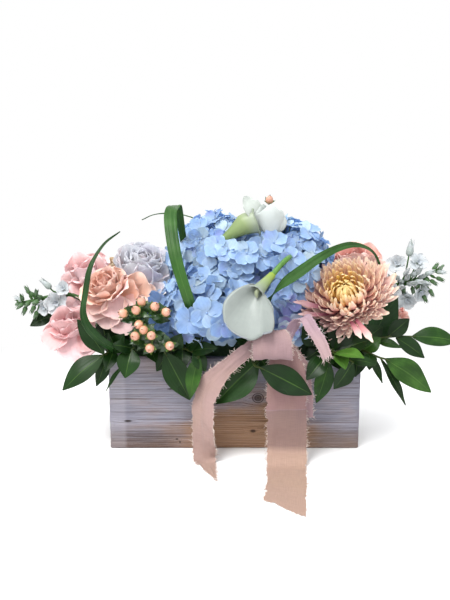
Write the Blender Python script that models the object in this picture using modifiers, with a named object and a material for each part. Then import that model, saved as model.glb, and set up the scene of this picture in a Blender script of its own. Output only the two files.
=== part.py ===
"""Floral table centrepiece in a whitewashed wooden planter box.

A nailed pine box holds a plastic liner and a block of wet floral foam. Cut flowers, lily grass
and foliage sprigs are pushed into the foam, and a bow of torn-edge silk ribbon on a pick hangs
over the front. Everything is modelled in metres, +Z up. The origin is the centre of the box's
underside, +X runs along the box and -Y is the front, where the ribbon hangs.
The tables below are in millimetres and are scaled once, by MM.
"""

import math

import bmesh
import bpy
from mathutils import Matrix, Vector

# ---------------------------------------------------------------- driving dimensions (mm)
MM = 0.001
BOX_L, BOX_D, BOX_H = 305.0, 127.0, 114.5  # outside of the wooden box
BOARD = 12.0  # plank thickness
GAP = 0.4  # running gap between touching pieces
LINER_T = 1.2  # liner wall
LINER_H = 108.0  # top of the liner above the table
FOAM_TOP = 140.0  # foam stands 25 mm above the rim, so that stems can go in from the side
FOAM_EDGE = 6.0
BLADE_T = 1.2  # solid thickness of leaves and grass
RIBBON_W, RIBBON_T = 46.0, 1.0

# ---------------------------------------------------------------- scene
for _o in list(bpy.data.objects):
    bpy.data.objects.remove(_o, do_unlink=True)
PARTS = bpy.data.collections.new("floral_centerpiece")
CUTTERS = bpy.data.collections.new("cutters")
bpy.context.scene.collection.children.link(PARTS)
bpy.context.scene.collection.children.link(CUTTERS)


def material(name, colour, rough, metal=0.0):
    m = bpy.data.materials.new(name)
    m.use_nodes = True
    b = m.node_tree.nodes["Principled BSDF"]
    b.inputs["Base Color"].default_value = (*colour, 1)
    b.inputs["Roughness"].default_value = rough
    b.inputs["Metallic"].default_value = metal
    return m


M = {
    "wood": material("whitewashed_pine", (0.50, 0.46, 0.45), 0.75),
    "liner": material("black_plastic", (0.03, 0.03, 0.03), 0.45),
    "foam": material("floral_foam", (0.05, 0.16, 0.07), 0.95),
    "blue": material("hydrangea_blue", (0.38, 0.53, 0.86), 0.6),
    "white": material("calla_white", (0.80, 0.83, 0.76), 0.4),
    "bronze": material("chrysanthemum_bronze", (0.78, 0.50, 0.33), 0.6),
    "blush": material("peony_blush", (0.80, 0.76, 0.80), 0.6),
    "peach": material("rose_peach", (0.87, 0.54, 0.40), 0.55),
    "pink": material("rose_pink", (0.87, 0.52, 0.50), 0.55),
    "coral": material("rose_coral", (0.86, 0.42, 0.34), 0.55),
    "cream": material("carnation_cream", (0.84, 0.66, 0.46), 0.6),
    "pale": material("larkspur_white", (0.74, 0.80, 0.88), 0.6),
    "berry": material("hypericum_peach", (0.84, 0.46, 0.27), 0.35),
    "stem": material("stem_green", (0.16, 0.30, 0.08), 0.5),
    "leaf": material("ruscus_green", (0.03, 0.12, 0.03), 0.35),
    "grass": material("lily_grass_green", (0.07, 0.20, 0.05), 0.4),
    "ribbon": material("ribbon_blush", (0.72, 0.50, 0.45), 0.7),
}


# ---------------------------------------------------------------- helpers
def V(p):
    return Vector(p)


def smooth_path(points, n):
    """n points along a Catmull-Rom curve through the given ones."""
    p = [V(q) for q in points]
    p = [2 * p[0] - p[1]] + p + [2 * p[-1] - p[-2]]
    out = []
    for k in range(n):
        s = k / (n - 1) * (len(p) - 3)
        i = min(int(s), len(p) - 4)
        t = s - i
        a, b, c, d = p[i : i + 4]
        out.append(
            0.5
            * (
                2 * b
                + (c - a) * t
                + (2 * a - 5 * b + 4 * c - d) * t * t
                + (3 * b - a - 3 * c + d) * t**3
            )
        )
    return out


def along(values, t):
    """Linear value at t in 0..1 of evenly spaced values (numbers or vectors)."""
    s = t * (len(values) - 1)
    i = min(int(s), len(values) - 2)
    f = s - i
    return values[i] * (1 - f) + values[i + 1] * f


def place(name, mesh, mat, cutter=False):
    o = bpy.data.objects.new(name, mesh)
    (CUTTERS if cutter else PARTS).objects.link(o)
    if mat is not None:
        o.data.materials.append(M[mat])
    if cutter:
        o.hide_render = True
        o.display_type = "WIRE"
    return o


def from_bmesh(name, bm, mat, cutter=False, scale=MM):
    if scale != 1:
        bmesh.ops.scale(bm, vec=(scale,) * 3, verts=bm.verts)
    me = bpy.data.meshes.new(name)
    bm.to_mesh(me)
    bm.free()
    me.shade_smooth()
    return place(name, me, mat, cutter)


def modifier(o, kind, **settings):
    m = o.modifiers.new(kind.title(), kind)
    for k, v in settings.items():
        setattr(m, k, v)
    return m


def baked(o):
    """The object with its modifiers applied, as one closed mesh."""
    dg = bpy.context.evaluated_depsgraph_get()
    dg.update()
    me = bpy.data.meshes.new_from_object(o.evaluated_get(dg))
    bm = bmesh.new()
    bm.from_mesh(me)
    bmesh.ops.transform(bm, matrix=o.matrix_world, verts=bm.verts)
    bmesh.ops.remove_doubles(bm, verts=bm.verts, dist=1e-6)
    bmesh.ops.recalc_face_normals(bm, faces=bm.faces)
    bm.to_mesh(me)
    bm.free()
    name, mats, cols = o.name, list(o.data.materials), list(o.users_collection)
    hide, disp = o.hide_render, o.display_type
    bpy.data.objects.remove(o, do_unlink=True)
    new = bpy.data.objects.new(name, me)
    me.materials.clear()
    for m in mats:
        me.materials.append(m)
    for c in cols:
        c.objects.link(new)
    new.hide_render, new.display_type = hide, disp
    return new


def tube(name, points, radius, mat, n=8, sides=2, cutter=False, smooth=True):
    """A stem: a bevelled curve with filled caps. radius is a number, or a list along the stem."""
    pts = smooth_path(points, n) if smooth else [V(p) for p in points]
    radii = radius if isinstance(radius, (list, tuple)) else [radius, radius]
    cu = bpy.data.curves.new(name, "CURVE")
    cu.dimensions = "3D"
    cu.bevel_depth = MM
    cu.bevel_resolution = sides - 1
    cu.use_fill_caps = True
    cu.twist_mode = "MINIMUM"
    sp = cu.splines.new("POLY")
    sp.points.add(len(pts) - 1)
    for i, p in enumerate(pts):
        sp.points[i].co = (*(p * MM), 1)
        sp.points[i].radius = along(radii, i / (len(pts) - 1))
    o = place(name, cu, mat, cutter)
    bpy.context.view_layer.update()
    return baked(o)


def turn_to(axis, up=(0, 0, 1)):
    """Rotation that takes local +Z to axis, and local +X as near to `up` as it can be."""
    z = V(axis).normalized()
    x = V(up) - z * V(up).dot(z)
    if x.length < 1e-3:
        x = V((1, 0, 0)) - z * z.x
    x.normalize()
    y = z.cross(x)
    return Matrix((x, y, z)).transposed().to_4x4()


def trim(bm, co, no):
    """Cuts away what lies past a plane and closes the cut. co in mm."""
    geom = bm.verts[:] + bm.edges[:] + bm.faces[:]
    bmesh.ops.bisect_plane(
        bm, geom=geom, plane_co=V(co), plane_no=V(no).normalized(), clear_outer=True
    )
    bmesh.ops.holes_fill(bm, edges=[e for e in bm.edges if e.is_boundary], sides=0)


def bloom(name, centre, radii, axis, mat, lobes=7, bump=0.05, base=-6.0, u=18, v=11, cuts=()):
    """A flower head as a lumpy dome: an ellipsoid in world axes, cut flat behind, at `base` mm
    along its axis from the centre, and trimmed where a neighbour presses on it."""
    bm = bmesh.new()
    bmesh.ops.create_uvsphere(bm, u_segments=u, v_segments=v, radius=1.0)
    for q in bm.verts:
        d = q.co.normalized()
        a, b = math.atan2(d.y, d.x), math.acos(max(-1, min(1, d.z)))
        k = 1 + bump * math.cos(lobes * a + 2 * b) * math.sin(b) * math.cos(5 * b)
        q.co = V((d.x * radii[0], d.y * radii[1], d.z * radii[2])) * k + V(centre)
    ax = V(axis).normalized()
    trim(bm, V(centre) + ax * base, -ax)
    for co, no in cuts:
        trim(bm, co, no)
    return from_bmesh(name, bm, mat)


def between(a, b, share=0.5, gap=0.5):
    """Cutting plane between two heads for the first of them, seen from a towards b."""
    d = (V(b) - V(a)).normalized()
    return (V(a) + (V(b) - V(a)) * share - d * gap, d)


def blade(name, ctrl, sides, widths, mat, nu=16, nv=2, thick=BLADE_T, keel=0.0, cutter=False, edge=None):
    """A leaf, a grass blade or a ribbon: a grid laid along a curve, then thickened.
    ctrl: centre-line points, sides: width directions, widths: full widths along it,
    keel: how far the middle sinks below the edges, as a share of the width."""
    bm = bmesh.new()
    bmesh.ops.create_grid(bm, x_segments=nu, y_segments=nv, size=0.5)
    path = smooth_path(ctrl, 65)
    sides = [V(s).normalized() for s in sides]
    for q in bm.verts:
        t, w = min(1, max(0, q.co.x + 0.5)), q.co.y * 2
        f = t * 64
        i = min(int(f), 63)
        c = path[i].lerp(path[i + 1], f - i)
        d = (path[i + 1] - path[i]).normalized()
        s = along(sides, t)
        s = (s - d * s.dot(d)).normalized()
        nrm = d.cross(s)
        half = along(widths, t) / 2
        lift = keel * half * (abs(w) - 0.5) if keel else 0
        shift = edge(t, w) if edge else V((0, 0, 0))
        q.co = c + s * half * w + nrm * lift + shift
    o = from_bmesh(name, bm, mat, cutter)
    modifier(o, "SOLIDIFY", thickness=thick * MM, offset=0.0, use_even_offset=False)
    return o


LEAF_W = [0.10, 0.55, 0.88, 1.0, 0.95, 0.74, 0.42, 0.05]


def leaf(name, base, tip, width, normal=(0, -1, 0.3), bend=4.0):
    """A foliage leaf from base to tip. normal is the way its face looks; bend bows it."""
    b, t = V(base), V(tip)
    d = (t - b).normalized()
    n = V(normal)
    n = (n - d * n.dot(d)).normalized()
    mid = (b + t) / 2 + n * bend
    rows = 6 if (t - b).length > 45 else 5
    return blade(name, [b, mid, t], [n.cross(d)] * 2, [max(1.2, width * k) for k in LEAF_W], "leaf", nu=rows, keel=0.12)


def join_solids(name, first, others, mat=None):
    """Boolean union of closed bodies that overlap, as one node."""
    base = baked(first)
    base.name = name
    for k, o in enumerate(others):
        other = baked(o)
        other.hide_render = True
        m = modifier(base, "BOOLEAN", operation="UNION", solver="EXACT", object=other)
        m.name = f"Union{k}"
        bpy.context.view_layer.update()
        base = baked(base)
        bpy.data.objects.remove(other, do_unlink=True)
    base.name = name
    return base


def carve(target, *cutters):
    """Leaves room in a piece for what passes through it. The cutters stay in their collection."""
    for c in cutters:
        m = modifier(target, "BOOLEAN", operation="DIFFERENCE", solver="EXACT", object=c)
        m.name = "Room for " + c.name
    return target


# ---------------------------------------------------------------- wooden box, liner and foam
def board(name, lo, hi, soften=1.0):
    bm = bmesh.new()
    bmesh.ops.create_cube(bm, size=1.0)
    for q in bm.verts:
        q.co = V([(a + b) / 2 + c * (b - a) for a, b, c in zip(lo, hi, q.co)])
    o = from_bmesh(name, bm, "wood")
    o.data.shade_flat()
    modifier(o, "BEVEL", width=soften * MM, segments=1, limit_method="ANGLE")
    return o


hx, hy = BOX_L / 2, BOX_D / 2
board("front_board", (-hx, -hy, 0), (hx, -hy + BOARD, BOX_H))
board("back_board", (-hx, hy - BOARD, 0), (hx, hy, BOX_H))
iy = hy - BOARD - GAP
board("left_end_board", (-hx, -iy, 0), (-hx + BOARD, iy, BOX_H))
board("right_end_board", (hx - BOARD, -iy, 0), (hx, iy, BOX_H))
ix = hx - BOARD - GAP
board("bottom_board", (-ix, -iy, 0), (ix, iy, BOARD), soften=0.6)

# the liner is an open tray: a box with no lid, thickened inwards
bm = bmesh.new()
bmesh.ops.create_cube(bm, size=1.0)
lx, ly = ix - GAP, iy - GAP
for q in bm.verts:
    draft = 2.0 if q.co.z < 0 else 0.0  # moulded trays taper to their floor
    q.co = V((math.copysign(lx - draft, q.co.x), math.copysign(ly - draft, q.co.y),
              BOARD + GAP if q.co.z < 0 else LINER_H))
bmesh.ops.delete(bm, geom=[f for f in bm.faces if f.normal.z > 0.9], context="FACES_ONLY")
liner = from_bmesh("liner", bm, "liner")
liner.data.shade_flat()
modifier(liner, "SOLIDIFY", thickness=LINER_T * MM, offset=-1.0)

# the foam block, softened along its top, with a hole for each stem
fx, fy = lx - LINER_T - 1.0, ly - LINER_T - 1.0
bm = bmesh.new()
bmesh.ops.create_cube(bm, size=1.0)
for q in bm.verts:
    draft = 2.0 if q.co.z < 0 else 0.0
    q.co = V((math.copysign(fx - draft, q.co.x), math.copysign(fy - draft, q.co.y),
              BOARD + LINER_T + 2 * GAP if q.co.z < 0 else FOAM_TOP))
top = [e for e in bm.edges if all(p.co.z > FOAM_TOP - 1 for p in e.verts)]
bmesh.ops.bevel(bm, geom=top, offset=FOAM_EDGE, segments=1, affect="EDGES")
foam = from_bmesh("floral_foam", bm, "foam")
foam.data.shade_flat()

HOLES = []  # one cutter for each stem in the foam


def stem(name, points, radius, mat="stem", n=7, hole=None):
    """A stem. Its last two points are a straight run, from just outside the foam to its end in
    the foam, and that run gets its own hole."""
    run = smooth_path(points[:-1], n) + [V(points[-1])]
    o = tube(name, run, radius, mat, smooth=False)
    r = radius[-1] if isinstance(radius, (list, tuple)) else radius
    inner, outer = V(points[-1]), V(points[-2])
    d = (inner - outer).normalized()
    HOLES.append(tube("hole_" + (hole or name), [outer, inner + d * 1.0], r + 0.7, None, cutter=True, smooth=False))
    return o


# ---------------------------------------------------------------- flower heads (centre, radii)
HYD_L = (-22, -42, 171)
HYD_C = (-16, 2, 226)
HYD_R = (73, 2, 210)
HYD_B = (-42, 56, 190)
CHRYS = (137, -57, 185)
PEONY = (-116, 2, 217)
PEACH = (-142, -57, 192)
PINK_U = (-190, 12, 206)
PINK_L = (-200, -52, 142)
CORAL = (162, 34, 220)
BUD = (212, 20, 153)
CREAM = (-158, 46, 206)
REAR = (52, 66, 184)
AXES = {
    "hydrangea_left": ((0, -0.72, 0.70), -4),
    "hydrangea_center": ((0, -0.25, 0.97), -22),
    "hydrangea_right": ((0.1, -0.35, 0.93), -32),
    "hydrangea_rear": ((0, 0.75, 0.66), -6),
    "chrysanthemum": ((0.05, -0.60, 0.80), -18),
    "peony": ((-0.05, -0.6, 0.8), -22),
    "rose_peach": ((-0.2, -0.85, 0.45), -16),
    "rose_pink_upper": ((-0.5, -0.5, 0.7), -18),
    "rose_pink_lower": ((-0.6, -0.75, 0.25), -14),
}

hydrangea_left = bloom("hydrangea_left_bloom", HYD_L, (72, 50, 55), AXES["hydrangea_left"][0], "blue", base=-4,
                       cuts=[between(HYD_L, HYD_C, 0.46), between(HYD_L, HYD_R, 0.56)])
hydrangea_center = bloom("hydrangea_center_bloom", HYD_C, (68, 52, 60), AXES["hydrangea_center"][0], "blue", base=-22,
                         cuts=[between(HYD_C, HYD_L, 0.54), between(HYD_C, HYD_R, 0.52), between(HYD_C, HYD_B, 0.52),
                               between(HYD_C, PEONY, 0.66)])
hydrangea_right = bloom("hydrangea_right_bloom", HYD_R, (56, 54, 66), AXES["hydrangea_right"][0], "blue", base=-32,
                        cuts=[between(HYD_R, HYD_C, 0.48), between(HYD_R, HYD_L, 0.44), between(HYD_R, CHRYS, 0.32),
                              between(HYD_R, CORAL, 0.58), between(HYD_R, REAR, 0.53)])
hydrangea_rear = bloom("hydrangea_rear_bloom", HYD_B, (62, 44, 52), AXES["hydrangea_rear"][0], "blue", base=-6,
                       cuts=[between(HYD_B, HYD_C, 0.48), between(HYD_B, REAR, 0.56)])

# the bronze chrysanthemum: a turned, stepped dome of incurved rays
profile = [(0, 30), (14, 29), (20, 27), (33, 23), (37, 18), (47, 13), (51, 6), (59, 1), (60, -3), (50, -8), (30, -14), (9, -18), (0, -18)]
me = bpy.data.meshes.new("chrysanthemum_bloom")
bm = bmesh.new()
prev = None
for r, z in profile:
    q = bm.verts.new((r * MM, 0, z * MM))
    if prev is not None:
        bm.edges.new((prev, q))
    prev = q
bm.to_mesh(me)
bm.free()
chrys = place("chrysanthemum_bloom", me, "bronze")
chrys.matrix_world = Matrix.Translation(V(CHRYS) * MM) @ turn_to(AXES["chrysanthemum"][0])
modifier(chrys, "SCREW", axis="Z", steps=24, render_steps=24, use_merge_vertices=True, merge_threshold=0.0001)
bpy.context.view_layer.update()
chrys = baked(chrys)

bloom("peony_bloom", PEONY, (35, 35, 34), AXES["peony"][0], "blush", lobes=5, base=-22, u=14, v=9,
      cuts=[between(PEONY, HYD_C, 0.335), between(PEONY, PEACH, 0.50), between(PEONY, CREAM, 0.60)])
bloom("rose_peach_bloom", PEACH, (37, 35, 37), AXES["rose_peach"][0], "peach", lobes=5, base=-16, u=14, v=9,
      cuts=[between(PEACH, PEONY, 0.50), between(PEACH, PINK_L, 0.50)])
bloom("rose_pink_upper_bloom", PINK_U, (33, 33, 32), AXES["rose_pink_upper"][0], "pink", lobes=5, base=-18, u=14, v=9,
      cuts=[between(PINK_U, CREAM, 0.56)])
bloom("rose_pink_lower_bloom", PINK_L, (35, 33, 34), AXES["rose_pink_lower"][0], "pink", lobes=5, base=-14, u=14, v=9,
      cuts=[between(PINK_L, PEACH, 0.49)])


def headed(name, centre, radii, axis, mat, base, path, r, cuts=(), lobes=5):
    """A flower kept as one solid: its head joined to its stem."""
    head = bloom(name + "_head", centre, radii, axis, mat, lobes=lobes, base=base, u=12, v=8, cuts=cuts)
    st = stem(name + "_st", path, r, hole=name, n=5)
    return join_solids(name, head, [st])


headed("rose_coral", CORAL, (38, 36, 37), (0.35, -0.3, 0.9), "coral", -20,
       [(158, 32, 206), (154, 31, 180), (142, 26, 158), (132, 23, 147), (116, 18, 112)], 2.5,
       cuts=[between(CORAL, HYD_R, 0.41)])
headed("rosebud_coral", BUD, (21, 20, 22), (0.85, -0.35, 0.25), "coral", -12,
       [(204, 19, 152), (180, 15, 142), (160, 10, 134), (144, 7, 130), (122, 3, 122)], 2.2)
headed("carnation_cream", CREAM, (27, 25, 26), (-0.25, 0.35, 0.9), "cream", -14,
       [(-156, 44, 198), (-150, 40, 178), (-138, 35, 158), (-130, 31, 147), (-118, 26, 114)], 2.0,
       cuts=[between(CREAM, PINK_U, 0.44), between(CREAM, PEONY, 0.40)])
headed("rose_rear", REAR, (37, 34, 36), (0.15, 0.80, 0.58), "pink", -14,
       [(51, 58, 178), (49, 49, 162), (47, 41, 152), (46, 37, 147), (42, 26, 110)], 2.5,
       cuts=[between(REAR, HYD_B, 0.44), between(REAR, HYD_R, 0.46)])

# ---------------------------------------------------------------- straight flower stems
# (centre, sideways offset of the stem at the head, way points, point above the foam, end)
STEMS = {
    "hydrangea_left": (HYD_L, [(-20, -27, 147), (-19, -22, 104)], 3.5),
    "hydrangea_center": (HYD_C, [(-12, 8, 147), (-11, 9, 104)], 3.5),
    "hydrangea_right": (HYD_R, [(66, 9, 147), (63, 5, 104)], 3.5),
    "hydrangea_rear": (HYD_B, [(-36, 38, 148), (-33, 28, 106)], 3.5),
    "chrysanthemum": (CHRYS, [(124, -30, 147), (112, -24, 106)], 3.0),
    "peony": (PEONY, [(-106, 12, 147), (-101, 10, 106)], 3.0),
    "rose_peach": (PEACH, [(-124, -27, 148), (-110, -17, 108)], 2.5),
    "rose_pink_upper": (PINK_U, [(-160, 15, 158), (-144, 11, 144), (-116, 5, 118)], 2.5),
    "rose_pink_lower": (PINK_L, [(-160, -30, 134), (-144, -25, 131), (-119, -17, 126)], 2.5),
}
for name, (head, path, r) in STEMS.items():
    ax, base = AXES[name]
    ax = V(ax).normalized()
    top = [V(head) + ax * (base - 1.5), V(head) + ax * (base - 10)]
    stem(name + "_stem", top + path, r, n=6)


# ---------------------------------------------------------------- calla lilies
def spathe(name, base, throat, r0, r1, rim, nu=18, nv=6):
    """The calla's funnel: a grid rolled about the line from base to throat, widening from r0 to
    r1, then flaring out to the rim, a closed run of points around the mouth."""
    b, t = V(base), V(throat)
    a = (t - b).normalized()
    d = V(rim[0]) - t
    d = (d - a * d.dot(a)).normalized()
    e = a.cross(d)
    rim = sorted(rim, key=lambda p: math.atan2((V(p) - t).dot(e), (V(p) - t).dot(d)) % (2 * math.pi - 1e-4))
    n = len(rim)
    edge = smooth_path(list(rim) * 3, 3 * n * 8 - 7)[n * 8 : 2 * n * 8 + 1]
    bm = bmesh.new()
    bmesh.ops.create_grid(bm, x_segments=nu, y_segments=nv, size=0.5)
    for q in bm.verts:
        f, s = q.co.x + 0.5, q.co.y + 0.5
        ring = d * math.cos(2 * math.pi * f) + e * math.sin(2 * math.pi * f)
        if s < 0.5:
            k = s / 0.5
            q.co = b.lerp(t, k) + ring * (r0 + (r1 - r0) * k**1.4)
        else:
            k = (s - 0.5) / 0.5
            p0 = t + ring * r1
            p2 = edge[round(f * (len(edge) - 1))]
            p1 = p0 + a * 0.45 * (p2 - p0).length + ring * 1.5
            q.co = p0 * (1 - k) ** 2 + p1 * 2 * k * (1 - k) + p2 * k * k
    bmesh.ops.remove_doubles(bm, verts=bm.verts, dist=0.01)
    bmesh.ops.recalc_face_normals(bm, faces=bm.faces)
    o = from_bmesh(name, bm, "white")
    modifier(o, "SOLIDIFY", thickness=1.0 * MM, offset=0.0)
    return o


spathe("calla_front_spathe", (42, -90, 219), (27, -104, 205), 4.2, 11,
       [(13, -107, 212), (-6, -114, 202), (-14, -120, 189), (-11, -125, 168), (8, -128, 154), (29, -127, 160), (43, -124, 163), (45, -118, 182), (36, -111, 197), (24, -106, 210)])
spathe("calla_top_left_spathe", (-13, -50, 257), (9, -42, 273), 4.2, 11.5,
       [(18, -36, 308), (11, -44, 301), (21, -52, 292), (25, -53, 277), (27, -43, 263), (29, -28, 270), (30, -22, 287), (30, -26, 297)])
spathe("calla_top_right_spathe", (34, -34, 253), (41, -45, 269), 4.2, 7.5,
       [(31, -53, 292), (37, -50, 295), (44, -48, 293), (54, -47, 287), (59, -48, 276), (56, -54, 264), (47, -60, 261), (39, -62, 263), (33, -60, 266), (30, -57, 278)])

CALLA = {
    "calla_front_stem": ([(27, -104, 205), (42, -90, 219), (52, -82, 229), (61, -74, 236), (66, -58, 236), (66, -40, 216), (58, -22, 180), (50, -15, 147), (45, -12, 110)],
                         [1.8, 3.2, 3.2, 3.2, 3.2, 3.2, 3.2, 3.2]),
    "calla_top_left_stem": ([(9, -42, 273), (-13, -50, 257), (-22, -50, 248), (-28, -40, 234), (-31, -20, 205), (-34, -6, 170), (-35, -3, 147), (-36, -1, 110)],
                            [1.8, 3.2, 3.2, 3.2, 3.2, 3.2]),
    "calla_top_right_stem": ([(41, -45, 269), (34, -34, 253), (31, -26, 242), (29, -14, 225), (28, 2, 190), (24, 12, 160), (23, 13, 147), (21, 14, 110)],
                             [1.8, 3.2, 3.2, 3.2, 3.2, 3.2]),
}
room = {}
for name, (path, r) in CALLA.items():
    stem(name, path, r, n=14)
    # room for the stem where it passes between the florets of the hydrangea heads
    room[name] = tube("room_" + name, path[1:-1], 4.2, None, n=12, cutter=True)

# ---------------------------------------------------------------- lily grass
GRASS = {
    # name: (centre line from foam to tip, width directions, widths)
    "lily_grass_left": (
        [(-112, -36, 120), (-126, -58, 127), (-138, -80, 130), (-152, -98, 143), (-165, -106, 160), (-171, -106, 178), (-170, -98, 197), (-165, -86, 228), (-152, -70, 252), (-134, -60, 266)],
        [(0.8, -0.5, 0.3), (0.7, -0.5, 0.6), (0.6, -0.3, 0.7), (0.85, -0.3, 0.3), (0.9, -0.35, 0.0), (0.9, -0.3, -0.2)],
        [4, 8, 11, 12, 11, 9, 8, 6.5, 4, 1.2]),
    "lily_grass_loop": (
        [(-41, -34, 118), (-43, -52, 140), (-44, -74, 154), (-46, -95, 170), (-55, -109, 202), (-65, -108, 236), (-71, -94, 264), (-74, -76, 286), (-72, -60, 295), (-68, -46, 292), (-65, -32, 272), (-62, -14, 240), (-58, 4, 190), (-54, 10, 160)],
        [(1, 0, 0)] * 5 + [(1, -0.1, 0)] * 4 + [(0.75, 0.6, 0)] * 4 + [(1, 0, 0)] * 2,
        [4, 7, 10, 12.5, 13, 14, 14.5, 14.5, 13, 11, 9, 7, 5]),
    "lily_grass_right": (
        [(30, -34, 118), (30, -52, 144), (31, -70, 166), (38, -90, 190), (52, -102, 209), (72, -110, 226), (92, -112, 241), (112, -102, 250), (132, -86, 253), (150, -68, 249), (166, -48, 239), (178, -28, 222), (183, -14, 207)],
        [(1, 0, 0), (1, 0, 0.2), (0.6, 0, 0.8), (0.45, 0.0, 0.9), (0.3, 0.35, 0.85), (0.1, 0.8, 0.6), (0.4, 0.8, 0.2), (0.85, 0.5, 0.2)],
        [4, 7, 11, 13, 13, 12, 10, 8, 7, 6, 5, 3.5, 1.2]),
    "lily_grass_rear": (
        [(-6, 26, 118), (-7, 25, 150), (-14, 22, 200), (-26, 18, 246), (-42, 12, 272), (-62, 12, 281), (-84, 10, 284), (-102, 6, 282), (-116, 2, 276)],
        [(0, 1, 0), (0, 1, 0), (0, 1, 0.2), (0, 1, 0.3), (0, 1, 0.35)],
        [3, 4, 4.5, 4.5, 4.5, 4, 3.5, 2.5, 1.0]),
}
for name, (ctrl, sides, widths) in GRASS.items():
    blade(name, ctrl, sides, widths, "grass", nu=28 if "rear" not in name else 20, nv=2, keel=0.12)
    path = smooth_path(ctrl, 65)
    last = max(k for k in range(32) if path[k].z < FOAM_TOP + 5 and abs(path[k].x) < fx + 5 and abs(path[k].y) < fy + 5)
    at = [0, last // 2, last]
    start = path[0] - (path[1] - path[0]).normalized() * 1.2
    pts = [start] + [path[k] for k in at[1:]]
    ww = [along(widths, k / 64) + 1.6 for k in at]
    ss = [along([V(s).normalized() for s in sides], k / 64) for k in at]
    HOLES.append(baked(blade("hole_" + name, pts, ss, ww, None, nu=3, nv=1, thick=3.4, cutter=True)))
    room[name] = baked(blade("room_" + name, ctrl, sides, [w + 1.6 for w in widths], None, nu=28, nv=1, thick=3.6, cutter=True))


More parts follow.
